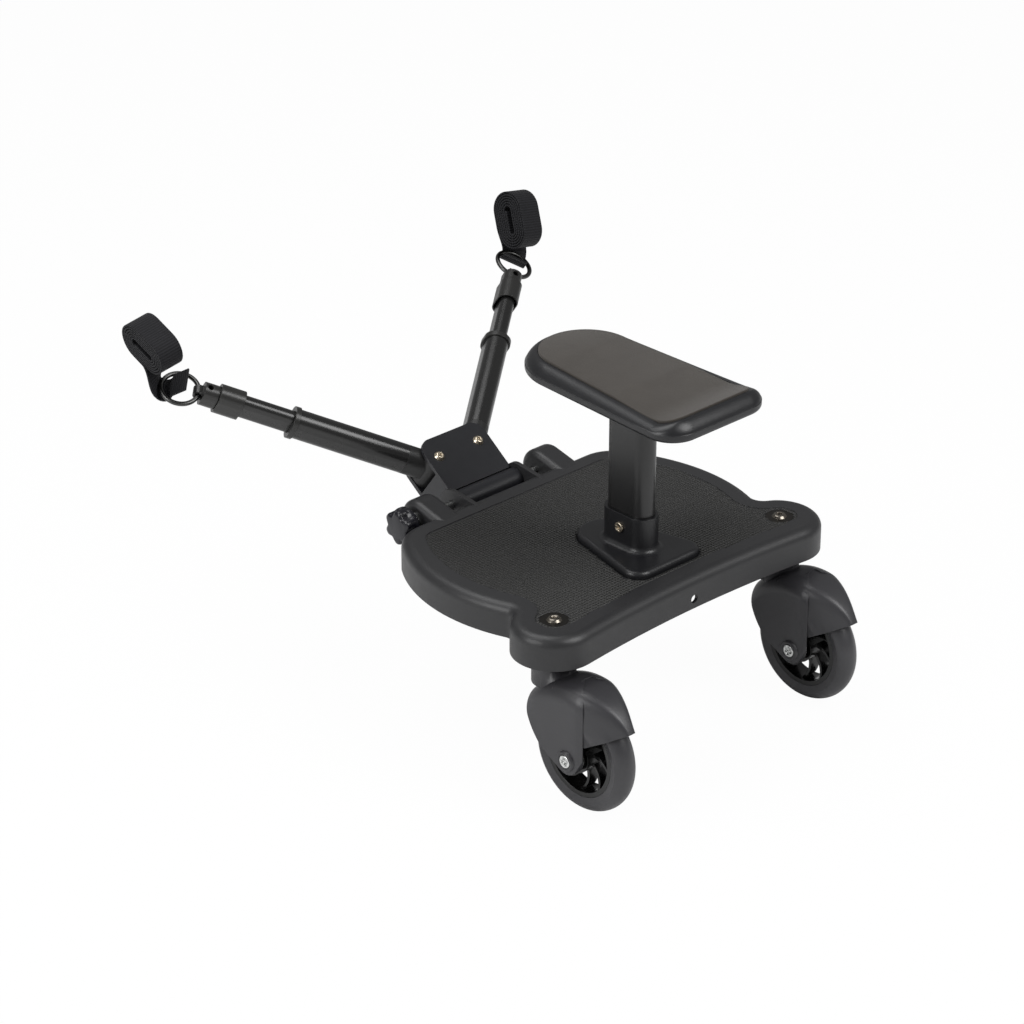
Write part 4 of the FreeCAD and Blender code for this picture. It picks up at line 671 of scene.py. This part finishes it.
for side_name in SIDES:
    caster = f"{side_name}_caster"
    skin = new_piece(f"{side_name}_fork_front", fork_maker(side_name), LIT_FORK_PLASTIC, caster)
    smooth(skin, degrees=30)
    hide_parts(f"{side_name}_fork")
    hood = new_piece(f"{side_name}_fork_hood", hood_maker(side_name), LIT_FORK_PLASTIC, caster)
    shell = hood.modifiers.new("wall", "SOLIDIFY")
    shell.thickness = HOOD_THICK
    shell.offset = -1                 # inwards
    smooth(hood, degrees=50)


# Screw heads: the solids' heads, softened at the rim and given their driving recess
HEAD_ROUND, HEAD_INSET_PARTS, HEAD_FACING, FLAT_ANGLE = 0.0007, 5, 0.99, 1
RECESS_DEPTH, CROSS_PARTS = 0.0012, 3
BOLT_RECESS, PIVOT_RECESS, FOOT_RECESS, AXLE_RECESS = 0.0027, 0.0016, 0.0026, 0.0032


def hexagon_reach(size, angle):
    """How far a hexagon socket reaches at an angle about its middle."""
    return size * math.cos(math.pi / 6) / math.cos(angle % (math.pi / 3) - math.pi / 6)


def cross_reach(size, angle):
    """How far a cross recess reaches at an angle about its middle."""
    narrow = size / CROSS_PARTS
    spread = min(abs(math.sin(angle)), abs(math.cos(angle)))
    return min(size, narrow / max(spread, narrow / size))


def head_maker(name, axis, recess, size):
    """A maker for screws: their outer end faces get a soft rim and a recess of the given outline."""
    axis = Vector(axis).normalized()

    def make(bm):
        copied(bm, name)
        bmesh.ops.dissolve_limit(bm, angle_limit=math.radians(FLAT_ANGLE), verts=bm.verts, edges=bm.edges)
        end = max(vert.co.dot(axis) for vert in bm.verts)

        def at_end(face):
            near = face.calc_center_median().dot(axis) > end - HEAD_ROUND
            return near and face.normal.dot(axis) > HEAD_FACING

        rims = [edge for face in bm.faces if at_end(face) for edge in face.edges]
        soften(bm, rims, HEAD_ROUND)
        tops = [face for face in bm.faces if at_end(face)]
        for face in tops:
            middle = face.calc_center_median()
            far = max((vert.co - middle).length for vert in face.verts)
            bmesh.ops.inset_individual(bm, faces=[face], thickness=far / HEAD_INSET_PARTS)
            first = (face.verts[0].co - middle).normalized()
            second = axis.cross(first)
            for vert in face.verts:
                arm = vert.co - middle
                angle = math.atan2(arm.dot(second), arm.dot(first))
                vert.co = middle + arm.normalized() * recess(size, angle)
            sunk = bmesh.ops.extrude_discrete_faces(bm, faces=[face])["faces"]
            bmesh.ops.translate(bm, verts=list(sunk[0].verts), vec=-axis * RECESS_DEPTH)
    return make


def dress_screw(node, axis, recess, size, material, body):
    """Shows a node of screws as a piece with finished heads, at the end that the axis points to."""
    screw = new_piece(f"{node}_dressed", head_maker(node, axis, recess, size), material, body)
    smooth(screw, degrees=35)
    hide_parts(node)


BRACKET_UP = BRACKET.to_3x3() @ Vector((0, 0, 1))
dress_screw("swivel_bolts", (0, 0, 1), hexagon_reach, BOLT_RECESS, BOLT_STEEL, "board")
dress_screw("pivot_screws", BRACKET_UP, hexagon_reach, PIVOT_RECESS, WARM_STEEL, "bracket")
dress_screw("foot_screw", (-1, 0, 0), cross_reach, FOOT_RECESS, WARM_STEEL, "seat")
for side_name in SIDES:
    dress_screw(f"{side_name}_axle_screw", (-1, 0, 0), cross_reach, AXLE_RECESS, ZINC_STEEL,
                f"{side_name}_caster")


# Axle cups: a raised round seat on each fork round the axle screw's head, as (radius, distance out)
CUP_PROFILE = [(0.0059, -0.0008), (0.0059, 0.0016), (0.0066, 0.0021), (0.0078, 0.0021), (0.0086, 0.0014),
               (0.0092, -0.0008)]
CUP_STEPS = 40


def cup_maker(name):
    """A maker for one cup: its profile, turned about the axle."""
    axle = axle_place(name)

    def make(bm):
        ring = [Vector((-FORK_HALF - out, reach, 0)) + axle for reach, out in CUP_PROFILE]
        verts = [bm.verts.new(spot) for spot in ring]
        edges = [bm.edges.new(pair) for pair in zip(verts, verts[1:] + verts[:1])]
        bmesh.ops.spin(bm, geom=verts + edges, cent=axle, axis=(1, 0, 0), angle=2 * math.pi, steps=CUP_STEPS,
                       use_merge=True)
        bmesh.ops.recalc_face_normals(bm, faces=bm.faces)
    return make


for side_name in SIDES:
    cup = new_piece(f"{side_name}_axle_cup", cup_maker(side_name), LIT_FORK_PLASTIC, f"{side_name}_caster")
    smooth(cup)


# Straps: each is one ribbon, led round its ring and into a flat roll
def arc_run(stations, point, heading, radius, degrees, steps):
    """Adds an arc of (point, heading) stations in a plane and returns where it ends."""
    centre = point + Vector((-heading.y, heading.x)) * radius
    for i in range(1, steps + 1):
        turn = Matrix.Rotation(math.radians(degrees) * i / steps, 2)
        stations.append((centre + turn @ (point - centre), turn @ heading))
    return stations[-1]


def straight_run(stations, point, heading, length, steps):
    """Adds a straight stretch of (point, heading) stations and returns where it ends."""
    for i in range(1, steps + 1):
        stations.append((point + heading * (length * i / steps), heading.copy()))
    return stations[-1]


def loop_stations(tail):
    """Side view of the webbing round the ring's far bar, from its tail, which leans over the ring."""
    half = WEB_THICK / 2
    outer = RING_RADIUS + RING_WIRE + WEB_GAP + half
    clear = RING_RADIUS - RING_WIRE - WEB_GAP
    inner = math.sqrt(clear ** 2 - (WEB_WIDTH / 2) ** 2) - half
    radius = (outer - inner) / 2
    lean = math.radians(TAIL_LEAN)
    free = tail - TAIL_BEND * lean
    heading = Vector((math.sin(lean), -math.cos(lean)))
    bend = Vector((inner - TAIL_BEND * (1 - math.cos(lean)), TAIL_BEND * math.sin(lean)))
    stations = [(bend - heading * free, heading)]
    point, heading = straight_run(stations, *stations[0], free, TAIL_STEPS)
    point, heading = arc_run(stations, point, heading, -TAIL_BEND, -TAIL_LEAN, BEND_STEPS)
    arc_run(stations, point, heading, radius, 90 + LEAVE_ANGLE, TURN_STEPS)
    return stations


def coil_stations():
    """End view of the flat roll, from its underside inwards."""
    stations = [(Vector((0, -COIL_RADIUS)), Vector((1, 0)))]
    point, heading = straight_run(stations, *stations[0], COIL_STRAIGHT / 2, ENTRY_STEPS)
    for i in range(COIL_TURNS):
        radius = COIL_RADIUS - i * COIL_PITCH
        for reach in (radius, radius - COIL_PITCH / 2):
            point, heading = arc_run(stations, point, heading, reach, 180, TURN_STEPS)
            point, heading = straight_run(stations, point, heading, COIL_STRAIGHT, FLAT_STEPS)
    return stations


def strap_stations(name):
    """Middle points and width directions along a whole strap, about the level ring's middle."""
    own = STRAPS[name]
    to_lug = Matrix.Translation((0, -RING_RADIUS, 0))
    droop = to_lug @ about("X", -RING_DROOP) @ to_lug.inverted()
    spin = about("Z", COIL_TURN) @ about("Y", COIL_LIFT) @ about("X", own["roll"])
    across, along, upward = (spin.col[i].to_3d() for i in range(3))
    centre = Vector(own["place"])
    sideways = Vector((1, 0, 0))
    loop = loop_stations(own["tail"])
    path = [(droop @ Vector((0, point.x, point.y)), sideways) for point, _ in loop]
    heading = loop[-1][1]
    leave = (droop.to_3x3() @ Vector((0, heading.x, heading.y))).normalized()
    begin = path[-1][0]
    arrive = centre - upward * COIL_RADIUS
    pull = (arrive - begin).length * PULL_SHARE
    poles = [begin, begin + leave * pull, arrive - along * pull, arrive]
    for i in range(1, PULL_STEPS):
        t = i / PULL_STEPS
        point = (poles[0] * (1 - t) ** 3 + poles[1] * 3 * t * (1 - t) ** 2
                 + poles[2] * 3 * t ** 2 * (1 - t) + poles[3] * t ** 3)
        course = ((poles[1] - poles[0]) * (1 - t) ** 2 + (poles[2] - poles[1]) * 2 * t * (1 - t)
                  + (poles[3] - poles[2]) * t ** 2).normalized()
        width = sideways.lerp(across, t)
        width = (width - course * width.dot(course)).normalized()
        path.append((point, width))
    for point, _ in coil_stations():
        path.append((centre + along * point.x + upward * point.y, across))
    return path


ACROSS_SHARES = (-0.5, -0.46, -0.2, 0.2, 0.46, 0.5)
RIBS_PER_METRE = 140


def strap_maker(name):
    """A maker for one strap: a row of vertices across the webbing, extruded from station to station."""
    side = SIDES[name]
    path = strap_stations(name)
    level = arm_frame(side) @ Matrix.Translation((0, RING_REACH, 0))
    mirror = Matrix.Diagonal((side, 1, 1, 1))
    lengths = [0.0]
    for (a, _), (b, _) in zip(path, path[1:]):
        lengths.append(lengths[-1] + (b - a).length)

    def row(station):
        point, width = path[station]
        return [level @ mirror @ (point + width * (WEB_WIDTH * share)) for share in ACROSS_SHARES]

    def make(bm):
        uv = bm.loops.layers.uv.new("tape")
        place = grow_rows(bm, [row(station) for station in range(len(path))])
        for face in bm.faces:
            for loop in face.loops:
                station, i = place[loop.vert]
                loop[uv].uv = (lengths[station] * RIBS_PER_METRE, ACROSS_SHARES[i])
        bmesh.ops.recalc_face_normals(bm, faces=bm.faces)
    return make, lengths[-1]


for side_name in SIDES:
    maker, web_length = strap_maker(side_name)
    strap = new_piece(f"{side_name}_webbing", maker, WEBBING, f"{side_name}_loop")
    thick = strap.modifiers.new("thickness", "SOLIDIFY")
    thick.thickness = WEB_THICK
    thick.offset = 0                  # half to each side
    smooth(strap, degrees=60)
    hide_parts(f"{side_name}_strap")


# Stage, light and camera
FLOOR_HALF, FLOOR_GREY, FLOOR_GLOW_SHARE = 6, (0.86, 0.86, 0.86), 0.97
WHITE, WORLD_STRENGTH = (1, 1, 1, 1), 0.25
AIM = Vector((-0.0242, 0.1585 - BEHIND, 0.153))
EYE = Vector((-1.8649, -1.768 - BEHIND, 1.4961))
LENS, SENSOR, VIEW_DEPTH = 126.5625, 36, 30
LIGHTS = {
    "top_light": dict(place=(-0.3, 0.5, 1.8), size=1.2, power=15),
    "left_light": dict(place=(-1.8, 0.2, 1.0), size=0.9, power=16),
    "rear_light": dict(place=(0.4, -1.3, 1.4), size=1.0, power=20),
}


def make_floor():
    """White paper that the camera sees as glowing, so that only faint shadows show on it."""
    def one_square(bm):
        bmesh.ops.create_grid(bm, x_segments=1, y_segments=1, size=FLOOR_HALF)

    finish = Finish("floor_paper", FLOOR_GREY, roughness=0.9, specular=0.1)
    glow = finish.add("ShaderNodeEmission", Color=WHITE, Strength=1.0)
    path = finish.add("ShaderNodeLightPath")
    share = finish.add("ShaderNodeMath")
    share.operation = "MULTIPLY"
    share.inputs[1].default_value = FLOOR_GLOW_SHARE
    finish.join(path.outputs["Is Camera Ray"], share.inputs[0])
    mix = finish.add("ShaderNodeMixShader")
    finish.join(share.outputs[0], mix.inputs["Fac"])
    finish.join(finish.shader.outputs["BSDF"], mix.inputs[1])
    finish.join(glow.outputs["Emission"], mix.inputs[2])
    finish.join(mix.outputs["Shader"], finish.tree.nodes["Material Output"].inputs["Surface"])
    floor = new_object("floor", one_square, finish.material)


def make_world():
    """Soft light from all round, with plain white behind the object."""
    world = bpy.data.worlds.new("studio")
    bpy.context.scene.world = world
    world.use_nodes = True
    tree = world.node_tree
    lit = tree.nodes["Background"]
    lit.inputs["Color"].default_value = WHITE
    lit.inputs["Strength"].default_value = WORLD_STRENGTH
    seen = tree.nodes.new("ShaderNodeBackground")
    seen.inputs["Color"].default_value = WHITE
    seen.inputs["Strength"].default_value = 1.0
    path = tree.nodes.new("ShaderNodeLightPath")
    mix = tree.nodes.new("ShaderNodeMixShader")
    tree.links.new(path.outputs["Is Camera Ray"], mix.inputs["Fac"])
    tree.links.new(lit.outputs["Background"], mix.inputs[1])
    tree.links.new(seen.outputs["Background"], mix.inputs[2])
    tree.links.new(mix.outputs["Shader"], tree.nodes["World Output"].inputs["Surface"])


def softbox(name, place, size, power):
    """A square area light that faces the object."""
    lamp = bpy.data.lights.new(name, "AREA")
    lamp.shape = "SQUARE"
    lamp.size = size
    lamp.energy = power
    item = bpy.data.objects.new(name, lamp)
    item.location = place
    item.rotation_euler = (AIM - Vector(place)).to_track_quat("-Z", "Y").to_euler()
    bpy.context.scene.collection.objects.link(item)


def make_camera():
    data = bpy.data.cameras.new("photo_view")
    data.lens = LENS
    data.sensor_width = SENSOR
    data.clip_end = VIEW_DEPTH
    camera = bpy.data.objects.new("photo_view", data)
    camera.location = EYE
    camera.rotation_euler = (AIM - EYE).to_track_quat("-Z", "Y").to_euler()
    bpy.context.scene.collection.objects.link(camera)
    bpy.context.scene.camera = camera


make_floor()
make_world()
make_camera()
for light_name, light in LIGHTS.items():
    softbox(light_name, **light)
bpy.context.scene.view_settings.view_transform = "Standard"
